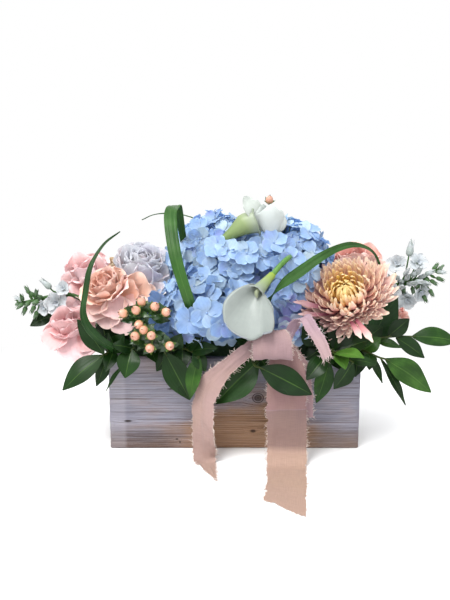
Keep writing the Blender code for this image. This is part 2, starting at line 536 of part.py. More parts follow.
# ---------------------------------------------------------------- foliage sprigs
SPRIGS = {
    # name: (stem runs, [(base, tip, width, face normal, bend)]); the first run ends in the foam
    "ruscus_left": (
        [[(-155, -79, 122), (-146, -68, 126), (-138, -58, 126), (-118, -36, 120)]],
        [((-155, -79, 122), (-200, -97, 85), 30, (-0.2, -0.8, 0.6), 5),
         ((-151, -76, 122), (-163, -85, 86), 17, (0.5, -0.8, 0.2), 3),
         ((-154, -80, 124), (-181, -92, 168), 23, (-0.1, -0.95, 0.2), -3)]),
    "ruscus_front_left": (
        [[(-127, -89, 117), (-121, -82, 130), (-108, -66, 131), (-99, -56, 129), (-90, -36, 122)]],
        [((-121, -83, 131), (-127, -98, 100), 27, (0.15, -0.9, 0.5), 5),
         ((-127, -89, 116), (-152, -84, 80), 6, (-0.5, -0.6, 0.2), 3),
         ((-106, -66, 132), (-76, -90, 132), 20, (0.0, -0.6, 0.8), 4)]),
    "ruscus_front_mid_left": (
        [[(-82, -84, 127), (-70, -68, 127), (-64, -55, 127), (-62, -36, 121)],
         [(-66, -60, 127), (-56, -76, 128), (-42, -86, 124)]],
        [((-82, -84, 127), (-53, -87, 70), 30, (0.1, -1, 0.2), 4),
         ((-42, -86, 124), (-52, -94, 74), 20, (-0.35, -0.9, 0.1), 4),
         ((-52, -79, 127), (-20, -92, 134), 18, (0.1, -0.8, 0.6), 3)]),
    "ruscus_front_center": (
        [[(27, -86, 117), (24, -70, 125), (20, -55, 127), (17, -36, 121)],
         [(23, -68, 126), (19, -88, 123), (22, -112, 119), (28, -118, 118)]],
        [((27, -86, 117), (-22, -97, 71), 34, (-0.25, -0.9, 0.4), 5),
         ((28, -118, 118), (86, -122, 88), 31, (0.1, -0.95, 0.35), 4)]),
    "ruscus_front_right": (
        [[(137, -96, 118), (128, -89, 122), (116, -76, 126), (106, -55, 127), (100, -36, 121)],
         [(108, -62, 127), (104, -72, 134)], [(117, -78, 125), (106, -96, 127)], [(117, -79, 125), (110, -88, 117)]],
        [((106, -96, 127), (81, -109, 101), 22, (-0.2, -0.9, 0.4), 3),
         ((110, -88, 117), (95, -95, 69), 22, (0.1, -1, 0.2), 3),
         ((136, -95, 118), (116, -89, 84), 22, (0.3, -0.9, 0.3), 3),
         ((116, -84, 126), (144, -118, 129), 20, (0.1, -0.6, 0.9), 4),
         ((131, -92, 121), (163, -96, 116), 13, (0.1, -0.9, 0.5), 3),
         ((104, -72, 134), (78, -88, 159), 30, (-0.2, -0.95, 0.2), -3)]),
    "ruscus_right_low": (
        [[(178, -77, 117), (170, -76, 119), (158, -68, 123), (146, -55, 126), (123, -34, 121)]],
        [((178, -77, 117), (231, -86, 79), 32, (0.2, -0.85, 0.55), 6),
         ((172, -76, 118), (206, -71, 58), 11, (0.4, -0.85, 0.2), 3),
         ((160, -71, 122), (175, -79, 88), 10, (0.3, -0.9, 0.2), 2)]),
    "ruscus_right_high": (
        [[(217, -46, 137), (193, -50, 138), (168, -52, 135), (148, -34, 128), (124, -17, 121)]],
        [((217, -46, 137), (272, -51, 132), 27, (0.1, -0.75, 0.7), 5),
         ((196, -51, 137), (230, -57, 113), 22, (0.2, -0.8, 0.5), 3),
         ((172, -54, 134), (199, -66, 128), 12, (0.1, -0.8, 0.6), 2)]),
    "salal_right": (
        [[(168, -41, 126), (160, -28, 124), (146, -9, 121), (123, -5, 119)]],
        [((168, -41, 126), (203, -22, 182), 40, (0.25, -0.95, 0.25), -5)]),
    "ruscus_rear_left": (
        [[(-230, -12, 157), (-214, 2, 154), (-184, 22, 146), (-158, 33, 134), (-144, 32, 128), (-121, 22, 121)],
         [(-148, 33, 130), (-148, 56, 128), (-152, 76, 120)]],
        [((-230, -12, 157), (-256, -22, 145), 18, (-0.2, -0.9, 0.4), 3),
         ((-188, 20, 147), (-226, 48, 140), 22, (-0.2, 0.5, 0.8), 4),
         ((-162, 34, 136), (-198, 62, 112), 26, (-0.3, 0.8, 0.6), 4),
         ((-152, 76, 120), (-174, 94, 78), 28, (-0.2, 0.9, 0.4), 4),
         ((-149, 62, 127), (-108, 84, 96), 28, (0.2, 0.9, 0.4), 4)]),
    "ruscus_rear_right": (
        [[(148, 84, 122), (120, 82, 122), (98, 70, 126), (91, 56, 127), (86, 36, 121)],
         [(93, 62, 126), (78, 76, 126), (52, 88, 119), (20, 88, 120), (-10, 86, 122)]],
        [((148, 84, 122), (202, 76, 98), 28, (0.2, 0.85, 0.5), 5),
         ((120, 82, 122), (138, 99, 72), 26, (0.1, 0.95, 0.2), 4),
         ((96, 70, 126), (98, 98, 82), 28, (0.0, 0.95, 0.4), 4),
         ((54, 87, 119), (56, 101, 68), 27, (0.0, 0.95, 0.3), 4),
         ((20, 88, 120), (14, 104, 74), 27, (-0.1, 0.95, 0.3), 4),
         ((-10, 86, 122), (-54, 100, 88), 30, (-0.2, 0.9, 0.4), 5)]),
}


def dense(points):
    """Points every eighth of the way along each straight run of a path."""
    return [p.lerp(q, k / 8) for p, q in zip(points, points[1:]) for k in range(8)] + [points[-1]]


def sprig(name, runs, leaves, r=1.6):
    """A twig with its side shoots and leaves. Each leaf hangs on a short stalk of its own."""
    n0 = len(runs[0]) + 2
    first = stem(name + "_s", runs[0], r, "leaf", n=n0, hole=name)
    main = dense(smooth_path(runs[0][:-1], n0) + [V(runs[0][-1])])
    rest, twig = [], list(main)
    for k, run in enumerate(runs[1:]):  # a side shoot starts on the main stem
        start = min(main, key=lambda p: (p - V(run[0])).length)
        path = smooth_path([start] + list(run[1:]), len(run) + 1)
        rest.append(tube(f"{name}_r{k}", path, r * 0.9, "leaf", smooth=False, sides=1))
        twig += dense(path)
    for k, (b, t, w, n, bend) in enumerate(leaves):
        d = (V(t) - V(b)).normalized()
        near = min(twig, key=lambda p: (p - V(b)).length)
        n = (V(n) - d * V(n).dot(d)).normalized()
        inside = (V(b) + V(t)) / 2 + n * bend  # the blade bows out to here at its middle
        inside = V(b).lerp(inside, 0.16) + n * bend * 0.14
        stalk = [near, inside] if (near - V(b)).length < 3 else [near, V(b), inside]
        rest.append(tube(f"{name}_p{k}", stalk, 1.0, "leaf", smooth=False, sides=1))
        rest.append(leaf(f"{name}_l{k}", b, t, w, n, bend))
    return join_solids(name, first, rest)


for name, (runs, leaves) in SPRIGS.items():
    sprig(name, runs, leaves)


# ---------------------------------------------------------------- larkspur and hypericum
def ball(name, centre, radii, mat, axis=(0, 0, 1), u=7, v=5):
    bm = bmesh.new()
    bmesh.ops.create_uvsphere(bm, u_segments=u, v_segments=v, radius=1.0)
    bmesh.ops.scale(bm, vec=radii, verts=bm.verts)
    bmesh.ops.transform(bm, matrix=Matrix.Translation(V(centre)) @ turn_to(axis, (0.3, 0.5, 0.8)), verts=bm.verts)
    return from_bmesh(name, bm, mat)


def raceme(name, spine, r, heads, mat):
    """A flower spike: the main stem, and each floret or bud on its own short stalk."""
    first = stem(name + "_s", spine, r, mat, n=len(spine) + 3, hole=name)
    rest = []
    for k, (foot, centre, radii) in enumerate(heads):
        axis = V(centre) - V(foot)
        rest.append(tube(f"{name}_p{k}", [foot, centre], 1.3, mat, smooth=False, sides=1))
        rest.append(ball(f"{name}_b{k}", centre, radii, mat, axis))
    return join_solids(name, first, rest)


raceme("larkspur_right", [(256, -12, 216), (243, -12, 209), (227, -12, 202), (200, -14, 195), (180, -16, 187), (163, -4, 172), (144, 8, 152), (136, 11, 147), (112, 12, 116)], 2.0,
       [((196, -14.5, 193.5), (207, -13, 221), (9, 9, 11)), ((212, -13, 198.5), (219, -12, 242), (7, 7, 11)),
        ((216, -13, 199.5), (230, -14, 221), (10, 10, 9)), ((204, -14, 196), (214, -18, 178), (9, 9, 9)),
        ((222, -12, 201), (234, -16, 184), (10, 9, 9)), ((192, -15, 192), (202, -8, 171), (8, 8, 8)),
        ((238, -12, 207), (250, -14, 199), (5, 5, 6)), ((250, -12, 213), (259, -12, 212), (7, 7, 7))], "pale")
raceme("larkspur_left", [(-266, -25, 175), (-250, -24, 178), (-232, -23, 182), (-214, -24, 185), (-198, -25, 184), (-172, -24, 168), (-150, -14, 152), (-142, -10, 146), (-116, -4, 120)], 2.0,
       [((-206, -25, 185), (-219, -34, 178), (11, 11, 10)), ((-218, -24, 184.5), (-235, -24, 200), (7, 7, 9)),
        ((-226, -24, 183), (-238, -28, 172), (9, 9, 8)), ((-242, -24, 180), (-252, -24, 186), (5, 5, 6)),
        ((-244, -24, 179), (-252, -28, 167), (5, 5, 6)), ((-256, -24, 177), (-263, -26, 166), (5, 5, 6)),
        ((-262, -25, 176), (-270, -25, 178), (6, 6, 7))], "pale")

BERRIES_UP = [(-128, -97, 176), (-113, -98, 180), (-107, -92, 189), (-91, -96, 184), (-78, -99, 178), (-110, -99, 163)]
BERRIES_LOW = [(-114, -104, 151), (-104, -103, 158), (-95, -106, 152), (-97, -106, 137), (-74, -106, 140)]
first = stem("hypericum_left_s", [(-103, -91, 171), (-100, -86, 158), (-95, -70, 150), (-90, -55, 144), (-84, -34, 120)], 1.8, "leaf", n=9, hole="hypericum_left")
rest = []
for foot, bunch in (((-103, -90.5, 170), BERRIES_UP), ((-95, -70, 150), BERRIES_LOW)):
    for b in bunch:
        mid = (V(foot) + V(b)) / 2 + V((0, -2, -1))
        rest.append(tube("twig", [foot, mid, b], 1.3, "berry", smooth=False, sides=1))
        rest.append(ball("fruit", b, (5.6, 5.6, 6.4), "berry", axis=V(b) - V((-100, -60, 150))))
join_solids("hypericum_left", first, rest)

top_path = [(45, 19, 300), (45, 24, 290), (43, 33, 272), (36, 38, 240), (24, 34, 190), (16, 33, 160), (14, 33, 147), (12, 33, 112)]
berry = stem("hypericum_top_s", top_path, 1.6, "leaf", n=10, hole="hypericum_top")
join_solids("hypericum_top", berry, [ball("fruit", (45, 18, 301), (5.4, 5.4, 6.2), "berry")])
room["hypericum_top"] = tube("room_hypericum_top", top_path[2:-1], 2.4, None, n=9, cutter=True)


# ---------------------------------------------------------------- ribbon bow
def ribbon(name, ctrl, sides, widths, nu=22, nv=2, edge=None):
    """A torn strip of thin cloth laid along a curve; where it reaches the table it lies on it."""
    o = blade(name, ctrl, sides, widths, "ribbon", nu=nu, nv=nv, thick=RIBBON_T, edge=edge)
    for q in o.data.vertices:
        q.co.z = max(q.co.z, (RIBBON_T / 2 + 0.4) * MM)
    return o


W = RIBBON_W
ribbon("ribbon_loop_front",
       [(38, -108, 158), (39, -115, 159), (40, -122, 151), (41, -125, 139), (41, -122, 129), (40, -115, 130), (38, -110.5, 139), (37, -109, 149)],
       [(1, 0, 0)] * 2, [20, 34, W - 2, W - 2, W - 3, 36, 24, 14], nu=16)
ribbon("ribbon_loop_right",
       [(48, -97, 158), (58, -96, 167), (70, -98, 172), (80, -102, 168), (90, -108, 154), (103, -114, 130)],
       [(0, 0.6, 0.8), (0.3, 0.8, 0.4), (0.6, 0.7, 0.2), (0.7, 0.7, 0.3), (0.75, 0.65, 0.3)], [10, 18, 24, 22, 18, 11], nu=12)
ribbon("ribbon_tail_left",
       [(21, -104, 151), (8, -108, 139), (-14, -105, 112), (-33, -99, 86), (-38, -98, 57), (-38, -98, 33), (-36, -101, 12), (-33, -108, 1.6), (-28, -128, 0.9), (-22, -153, 0.9)],
       [(0.2, -0.1, 0.95), (0.6, -0.4, 0.5), (0.62, -0.78, 0.1), (0.6, -0.8, 0.0), (0.6, -0.8, 0), (0.72, -0.68, 0.0), (0.95, -0.2, 0), (0.97, 0.22, 0), (0.97, 0.23, 0)],
       [12, 32, 44, 44, 42, 38, 34, 28, 18, 3], nu=28)
ribbon("ribbon_tail_short",
       [(52, -96.5, 147), (56, -97, 136), (62, -98.5, 122), (66, -100, 106), (69, -100, 80), (70, -99, 51)],
       [(1, 0, 0)] * 2, [12, 22, 34, 42, 43, 43], nu=12)
ribbon("ribbon_tail_right",
       [(50, -101, 150), (53, -102.5, 138), (56, -105.5, 124), (58, -107.5, 108), (59, -108, 70), (60, -107.5, 32), (60, -109, 12), (59, -116, 1.8), (57, -140, 0.9), (54, -175, 0.9), (48, -219, 0.9)],
       [(1, 0, 0), (1, 0, 0), (1, 0.02, 0), (1, 0.05, 0)], [12, 24, 36, 44, 46, 46, 46, 45, 43, 41, 40], nu=32,
       edge=lambda t, w: V((0, -15 * w * max(0, (t - 0.75) / 0.25) ** 2, 0)))

knot = ball("knot", (34, -98, 149), (8, 5.5, 7), "ribbon", axis=(0, 1, 0), u=10, v=7)
pick = stem("ribbon_pick", [(34, -97, 147), (31, -76, 137), (28, -55, 130), (25, -34, 122)], 1.2, "ribbon", n=5)
join_solids("ribbon_knot", knot, [pick])

# ---------------------------------------------------------------- room for what passes through
carve(hydrangea_left, room["lily_grass_loop"], room["lily_grass_right"], room["calla_top_left_stem"])
carve(hydrangea_center, room["calla_top_left_stem"], room["calla_top_right_stem"], room["lily_grass_loop"], room["lily_grass_rear"], room["hypericum_top"])
carve(hydrangea_right, room["calla_front_stem"], room["calla_top_right_stem"], room["hypericum_top"])
carve(foam, *HOLES)
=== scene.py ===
import json
import math

import bpy
import numpy as np
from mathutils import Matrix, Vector


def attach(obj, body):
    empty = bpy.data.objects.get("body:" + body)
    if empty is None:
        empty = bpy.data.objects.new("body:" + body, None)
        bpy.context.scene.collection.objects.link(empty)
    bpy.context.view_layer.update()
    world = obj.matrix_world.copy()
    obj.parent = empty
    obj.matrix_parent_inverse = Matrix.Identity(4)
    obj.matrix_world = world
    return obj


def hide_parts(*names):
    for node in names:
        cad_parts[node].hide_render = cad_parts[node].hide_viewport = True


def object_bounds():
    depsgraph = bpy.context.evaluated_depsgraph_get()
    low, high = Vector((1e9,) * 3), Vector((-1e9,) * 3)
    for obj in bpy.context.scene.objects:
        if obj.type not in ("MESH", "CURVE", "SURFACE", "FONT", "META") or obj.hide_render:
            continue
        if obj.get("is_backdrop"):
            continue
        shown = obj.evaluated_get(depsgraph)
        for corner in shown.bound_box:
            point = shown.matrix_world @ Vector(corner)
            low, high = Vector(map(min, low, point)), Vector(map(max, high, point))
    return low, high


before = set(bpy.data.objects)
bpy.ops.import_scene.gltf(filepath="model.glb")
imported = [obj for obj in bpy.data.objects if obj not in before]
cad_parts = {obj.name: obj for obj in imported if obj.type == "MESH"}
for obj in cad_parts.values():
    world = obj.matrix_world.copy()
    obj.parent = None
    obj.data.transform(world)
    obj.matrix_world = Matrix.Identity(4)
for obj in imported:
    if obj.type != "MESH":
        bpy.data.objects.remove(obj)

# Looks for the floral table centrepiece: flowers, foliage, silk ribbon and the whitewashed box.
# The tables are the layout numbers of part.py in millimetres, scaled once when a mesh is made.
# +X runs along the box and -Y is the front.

CAD_LO, CAD_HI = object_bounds()
MM = 0.001
GOLDEN = math.pi * (3 - math.sqrt(5))
TAU = 2 * math.pi


# ------------------------------------------------------------------ small maths
def rng_for(seed):
    return np.random.default_rng(seed)


def pt(*p):
    return np.array(p, float)


def unit(a):
    a = np.asarray(a, float)
    return a / np.maximum(np.linalg.norm(a, axis=-1, keepdims=True), 1e-9)


def dot(a, b):
    return (a * b).sum(-1, keepdims=True)


def smooth_path(points, n):
    """n points along a Catmull-Rom curve through the given ones."""
    p = np.asarray(points, float)
    p = np.vstack([2 * p[0] - p[1], p, 2 * p[-1] - p[-2]])
    s = np.linspace(0, len(p) - 3, n)
    i = np.minimum(s.astype(int), len(p) - 4)
    t = (s - i)[:, None]
    a, b, c, d = p[i], p[i + 1], p[i + 2], p[i + 3]
    return 0.5 * (2 * b + (c - a) * t + (2 * a - 5 * b + 4 * c - d) * t * t + (3 * b - a - 3 * c + d) * t**3)


def along(values, t):
    """Linear value at t in 0..1 of evenly spaced numbers or vectors; t may be an array."""
    v, t = np.asarray(values, float), np.asarray(t, float)
    s = np.clip(t, 0, 1) * (len(v) - 1)
    i = np.minimum(s.astype(int), len(v) - 2)
    f = s - i
    if v.ndim > 1:
        f = f[..., None]
    return v[i] * (1 - f) + v[i + 1] * f


def eased(values, t, n=65):
    """The same as along, on a smooth curve through the values."""
    v = np.asarray(values, float)
    v2 = v[:, None] if v.ndim == 1 else v
    out = along(smooth_path(v2, n), t)
    return out[..., 0] if v.ndim == 1 else out


def step(x, a, b):
    x = np.clip((x - a) / (b - a), 0, 1)
    return x * x * (3 - 2 * x)


NOISE = rng_for(11).random((32, 32, 32))


def noise3(p, scale, seed=0):
    """Smooth value noise in 0..1 at points p (…, 3); scale is the size of a lump in mm, or three sizes."""
    q = np.asarray(p, float) / np.asarray(scale, float) + seed * 7.31
    i = np.floor(q).astype(int)
    f = q - i
    f = f * f * (3 - 2 * f)
    out = 0.0
    for a in (0, 1):
        for b in (0, 1):
            for c in (0, 1):
                w = (f[..., 0] if a else 1 - f[..., 0]) * (f[..., 1] if b else 1 - f[..., 1]) * (f[..., 2] if c else 1 - f[..., 2])
                out = out + w * NOISE[(i[..., 0] + a) % 32, (i[..., 1] + b) % 32, (i[..., 2] + c) % 32]
    return out


def frame_of(z, up=(0, 0, 1)):
    """x, y, z axes with z as given and x as near to up as it can be; works on arrays."""
    z = unit(z)
    up = np.broadcast_to(np.asarray(up, float), z.shape)
    x = up - z * dot(up, z)
    bad = np.linalg.norm(x, axis=-1, keepdims=True) < 1e-3
    alt = np.broadcast_to(pt(1, 0, 0), z.shape)
    x = np.where(bad, alt - z * dot(alt, z), x)
    x = unit(x)
    return x, np.cross(z, x), z


# ------------------------------------------------------------------ mesh building
class Piece:
    """Gathers one piece's mesh: points in mm, faces, and numbers on each point that its material reads.
    u runs along a petal or leaf, v across it, rnd is its own random number, side is 1 on its inner
    face and -1 on its outer one, tone is free, green is 1 on stems and sepals."""

    # On the ribbon, green carries its painted shade, and in most petals tone is painted shade deep in the flower.
    NUMBERS = ("u", "v", "rnd", "side", "tone", "green")

    def __init__(self, name):
        self.name, self.points, self.faces, self.n = name, [], [], 0
        self.data = {k: [] for k in self.NUMBERS}

    def add(self, points, quads=None, tris=None, **numbers):
        points = np.asarray(points, float).reshape(-1, 3)
        n = len(points)
        self.points.append(points)
        for f in (quads, tris):
            if f is not None and len(f):
                self.faces.append(np.asarray(f) + self.n)
        for k in self.NUMBERS:
            self.data[k].append(np.broadcast_to(np.asarray(numbers.get(k, 0.0), float).ravel(), (n,)) if np.ndim(numbers.get(k, 0.0)) == 0
                                else np.asarray(numbers[k], float).reshape(n))
        self.n += n
        return self

    def finish(self, material, nodes=(), sharp=50.0, ride="root"):
        me = bpy.data.meshes.new(self.name)
        pts = np.concatenate(self.points) * MM
        me.vertices.add(len(pts))
        me.vertices.foreach_set("co", pts.astype(np.float32).ravel())
        loops = np.concatenate([f.ravel() for f in self.faces])
        sizes = np.concatenate([np.full(len(f), f.shape[1]) for f in self.faces])
        me.loops.add(len(loops))
        me.loops.foreach_set("vertex_index", loops.astype(np.int32))
        me.polygons.add(len(sizes))
        me.polygons.foreach_set("loop_start", np.concatenate([[0], np.cumsum(sizes)[:-1]]).astype(np.int32))
        me.update(calc_edges=True)
        me.validate()
        me.shade_smooth()
        me.set_sharp_from_angle(angle=math.radians(sharp))
        for k, parts in self.data.items():
            values = np.concatenate(parts).astype(np.float32)
            if np.any(values):
                me.attributes.new(k, "FLOAT", "POINT").data.foreach_set("value", values)
        me.materials.append(material)
        o = bpy.data.objects.new(self.name, me)
        bpy.context.scene.collection.objects.link(o)
        if nodes:
            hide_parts(*nodes)
        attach(o, ride)
        TRIANGLES[self.name] = int((sizes - 2).sum())
        return o


TRIANGLES = {}
_grids = {}


def shell_faces(a, b):
    """Faces of a closed thin shell over an a x b grid: its front, its back and its rim."""
    if (a, b) not in _grids:
        n = a * b
        g = np.arange(n).reshape(a, b)
        front = np.stack([g[:-1, :-1], g[:-1, 1:], g[1:, 1:], g[1:, :-1]], -1).reshape(-1, 4)
        ring = np.concatenate([g[0, :-1], g[:-1, -1], g[-1, :0:-1], g[:0:-1, 0]])
        nxt = np.roll(ring, -1)
        rim = np.stack([nxt, ring, ring + n, nxt + n], -1)
        _grids[a, b] = np.concatenate([front, front[:, ::-1] + n, rim])
    return _grids[a, b]


def shells(piece, P, thick=0.4, taper=0.5, u=None, v=None, **numbers):
    """Adds K thin closed shells from grids of points P (K, rows, columns, 3). The front faces column x row."""
    P = np.asarray(P, float)
    if P.ndim == 3:
        P = P[None]
    K, a, b, _ = P.shape
    n = unit(np.cross(np.gradient(P, axis=2), np.gradient(P, axis=1)))
    s, t = np.linspace(0, 1, a)[:, None], np.linspace(-1, 1, b)[None]
    th = thick / 2 * (1 - taper * np.maximum(np.abs(t) ** 6, s**8))
    th = np.broadcast_to(th, (a, b))[None, :, :, None]
    pts = np.stack([P + n * th, P - n * th], 1)  # K, 2, a, b, 3
    faces = (shell_faces(a, b)[None] + (np.arange(K) * 2 * a * b)[:, None, None]).reshape(-1, 4)

    def spread(x):
        if np.ndim(x) == 0:
            return x
        x = np.asarray(x, float)
        if x.shape == (K,):
            x = x[:, None, None, None]
        elif x.shape == (a, b):
            x = x[None, None]
        elif x.shape == (K, a, b):
            x = x[:, None]
        return np.broadcast_to(x, (K, 2, a, b)).ravel()

    side = np.broadcast_to(pt(1, -1)[None, :, None, None], (K, 2, a, b)).ravel()
    u = np.broadcast_to(s, (a, b)) if u is None else u
    v = np.broadcast_to(t, (a, b)) if v is None else v
    piece.add(pts, faces, u=spread(u), v=spread(v), side=side, **{k: spread(x) for k, x in numbers.items()})


# half widths along a petal, from its base to its tip
ROUND = ([0, 0.08, 0.2, 0.38, 0.55, 0.72, 0.86, 0.95, 1], [0.18, 0.44, 0.72, 0.95, 1.0, 0.96, 0.82, 0.64, 0.46])
STRAP = ([0, 0.15, 0.4, 0.7, 0.88, 1], [0.40, 0.56, 0.80, 1.0, 0.90, 0.42])
FAN = ([0, 0.12, 0.3, 0.5, 0.75, 0.9, 1], [0.22, 0.46, 0.76, 0.95, 1.0, 0.88, 0.62])
DROP = ([0, 0.15, 0.35, 0.6, 0.85, 1], [0.30, 0.66, 1.0, 0.86, 0.42, 0.06])
SPOON = ([0, 0.15, 0.4, 0.7, 0.86, 1], [0.42, 0.56, 0.78, 1.0, 0.98, 0.60])
CLAW = ([0, 0.3, 0.55, 0.8, 0.93, 1], [0.14, 0.34, 0.74, 1.0, 0.90, 0.66])


def petals(piece, O, X, Y, L, W, a=8, b=7, shape=ROUND, th0=0.0, bend=0.0, p=1.0, cup=0.0, opened=0.0, lip=0.0,
           ruffle=0.0, waves=2.5, crimp=0.0, tip=0.25, notch=0.0, twist=0.0, bank=0.0, thick=0.4, seed=0, **numbers):
    """K petals. O: bases, X: across, Y: outwards; X x Y is the inner face. th0 and bend turn the
    petal towards its inner face, lip turns its end back, cup rolls it across (opened: how much of that
    is lost by the tip), ruffle and crimp wave its edges (share of its length), tip rounds its end."""
    O, X, Y = (np.atleast_2d(np.asarray(q, float)) for q in (O, X, Y))
    K = len(O)
    r = rng_for(seed)
    Z = unit(np.cross(X, Y))
    Y = unit(Y)
    X = np.cross(Y, Z)

    def per(x):
        return np.broadcast_to(np.asarray(x, float), (K,))[:, None]

    if np.any(bank):
        c, s_ = np.cos(per(bank)), np.sin(per(bank))
        X, Z = X * c + Z * s_, Z * c - X * s_
    s, t = np.linspace(0, 1, a), np.linspace(-1, 1, b)

    def turn(s):
        return per(th0) + per(bend) * s ** per(p) - per(lip) * step(s, 0.62, 1.0) ** 1.5

    mid, ds = turn((s[1:] + s[:-1]) / 2), per(L) / (a - 1)
    zero = np.zeros((K, 1))
    y = np.concatenate([zero, np.cumsum(np.cos(mid) * ds, 1)], 1)[:, :, None]
    z = np.concatenate([zero, np.cumsum(np.sin(mid) * ds, 1)], 1)[:, :, None]
    th = turn(s)[:, :, None]
    h = (per(W) / 2 * np.interp(s, *shape))[:, :, None]
    phi = np.maximum(per(cup) * (1 - per(opened) * s**1.5), 1e-3)[:, :, None]
    T = t[None, None]
    S = s[None, :, None]
    x = h * np.sin(phi * T) / phi
    zc = h * (1 - np.cos(phi * T)) / phi
    Lk = per(L)[:, :, None]
    ph = r.uniform(0, TAU, (K, 1, 4))
    amp = per(ruffle)[:, :, None] * Lk
    zc = zc + amp * (T**2 * S**0.7 * np.sin(TAU * per(waves)[:, :, None] * S + ph[:, :, :1] + np.sign(T) * ph[:, :, 1:2])
                     + S**3 * np.cos(math.pi * per(waves)[:, :, None] * 0.9 * T + ph[:, :, 2:3]))
    if np.any(crimp):
        zc = zc + per(crimp)[:, :, None] * Lk * S**4 * np.sin(math.pi * 7 * T + ph[:, :, 3:4])
    back = (per(tip)[:, :, None] * T**2 + per(notch)[:, :, None] * np.exp(-(T / 0.22) ** 2)) * Lk * S**3
    if np.any(twist):
        a_ = per(twist)[:, :, None] * S
        x, zc = x * np.cos(a_) - zc * np.sin(a_), x * np.sin(a_) + zc * np.cos(a_)
    yy = y - np.cos(th) * back - np.sin(th) * zc
    zz = z - np.sin(th) * back + np.cos(th) * zc
    P = O[:, None, None] + X[:, None, None] * x[..., None] + Y[:, None, None] * yy[..., None] + Z[:, None, None] * zz[..., None]
    numbers.setdefault("rnd", r.random(K))
    shells(piece, P, thick, **numbers)
    return P


def lay(piece, specs, a=13, b=13, seed=0, shape=FAN, **common):
    """Single petals, one by one: (base, tip, width, way its inner face looks, bend, cup, lip, extra numbers).
    Base and tip are where the petal starts and where its chord ends."""
    for k, (base, tip, width, look, bend, cup, lip, *more) in enumerate(specs):
        base, tip = pt(*base), pt(*tip)
        d = tip - base
        size = float(np.linalg.norm(d))
        d = d / size
        n = pt(*look)
        n = unit(n - d * float(n @ d))
        turn = (bend - 0.5 * lip) / 2
        Y = d * math.cos(turn) - n * math.sin(turn)
        Z = n * math.cos(turn) + d * math.sin(turn)
        L = size * (1 + 0.045 * bend * bend)
        kw = dict(ruffle=0.04, waves=1.6, tip=0.2, thick=0.5, rnd=0.5, tone=0.0)
        kw.update(common)
        kw.update(more[0] if more else {})
        petals(piece, base, np.cross(Y, Z), Y, L, width, a, b, kw.pop("shape", shape), bend=bend, cup=cup, opened=0.25, lip=lip, seed=seed + 5 * k, **kw)


def tube(piece, points, radius, sides=8, **numbers):
    """A closed round tube along the points. radius is a number or a list along it."""
    p = np.asarray(points, float)
    n = len(p)
    T = unit(np.gradient(p, axis=0))
    U = np.zeros_like(p)
    ref = pt(0, 0, 1) if abs(T[0, 2]) < 0.9 else pt(1, 0, 0)
    U[0] = unit(np.cross(T[0], ref))
    for k in range(1, n):
        U[k] = unit(U[k - 1] - T[k] * float(U[k - 1] @ T[k]))
    W = np.cross(T, U)
    r = along(radius, np.linspace(0, 1, n)) if np.ndim(radius) else np.full(n, float(radius))
    ang = np.arange(sides) * TAU / sides
    ring = p[:, None] + r[:, None, None] * (np.cos(ang)[None, :, None] * U[:, None] + np.sin(ang)[None, :, None] * W[:, None])
    g = np.arange(n * sides).reshape(n, sides)
    nx = np.roll(g, -1, 1)
    quads = np.stack([g[:-1], nx[:-1], nx[1:], g[1:]], -1).reshape(-1, 4)
    c0, c1 = n * sides, n * sides + 1
    tris = np.concatenate([np.stack([np.full(sides, c0), nx[0], g[0]], -1), np.stack([np.full(sides, c1), g[-1], nx[-1]], -1)])
    uu = np.concatenate([np.repeat(np.linspace(0, 1, n), sides), [0, 1]])
    numbers.setdefault("u", uu)
    piece.add(np.concatenate([ring.reshape(-1, 3), p[:1], p[-1:]]), quads, tris, **numbers)


def tube_many(piece, P, radius, sides=5, **numbers):
    """K open-ended-free tubes at once: P is (K, n, 3), radius a number or (K, n)."""
    P = np.asarray(P, float)
    K, n, _ = P.shape
    T = unit(np.gradient(P, axis=1))
    ref = np.where(np.abs(T[:, :1, 2:3]) < 0.9, pt(0, 0, 1), pt(1, 0, 0))
    U = unit(np.cross(T, np.broadcast_to(ref, T.shape)))
    W = np.cross(T, U)
    r = np.broadcast_to(np.asarray(radius, float), (K, n))[:, :, None, None]
    ang = np.arange(sides) * TAU / sides
    ring = P[:, :, None] + r * (np.cos(ang)[:, None] * U[:, :, None] + np.sin(ang)[:, None] * W[:, :, None])
    pts = np.concatenate([ring.reshape(K, -1, 3), P[:, :1], P[:, -1:]], 1)
    g = np.arange(n * sides).reshape(n, sides)
    nx = np.roll(g, -1, 1)
    quads = np.stack([g[:-1], nx[:-1], nx[1:], g[1:]], -1).reshape(-1, 4)
    c0, c1 = n * sides, n * sides + 1
    tris = np.concatenate([np.stack([np.full(sides, c0), nx[0], g[0]], -1), np.stack([np.full(sides, c1), g[-1], nx[-1]], -1)])
    off = (np.arange(K) * pts.shape[1])[:, None, None]
    m = pts.shape[1]
    uu = np.broadcast_to(np.concatenate([np.repeat(np.linspace(0, 1, n), sides), [0, 1]])[None], (K, m))
    data = {k: (np.broadcast_to(np.asarray(x, float)[:, None], (K, m)).ravel() if np.ndim(x) == 1 else x) for k, x in numbers.items()}
    piece.add(pts.reshape(-1, 3), (quads[None] + off).reshape(-1, 4), (tris[None] + off).reshape(-1, 3), u=uu.ravel(), **data)


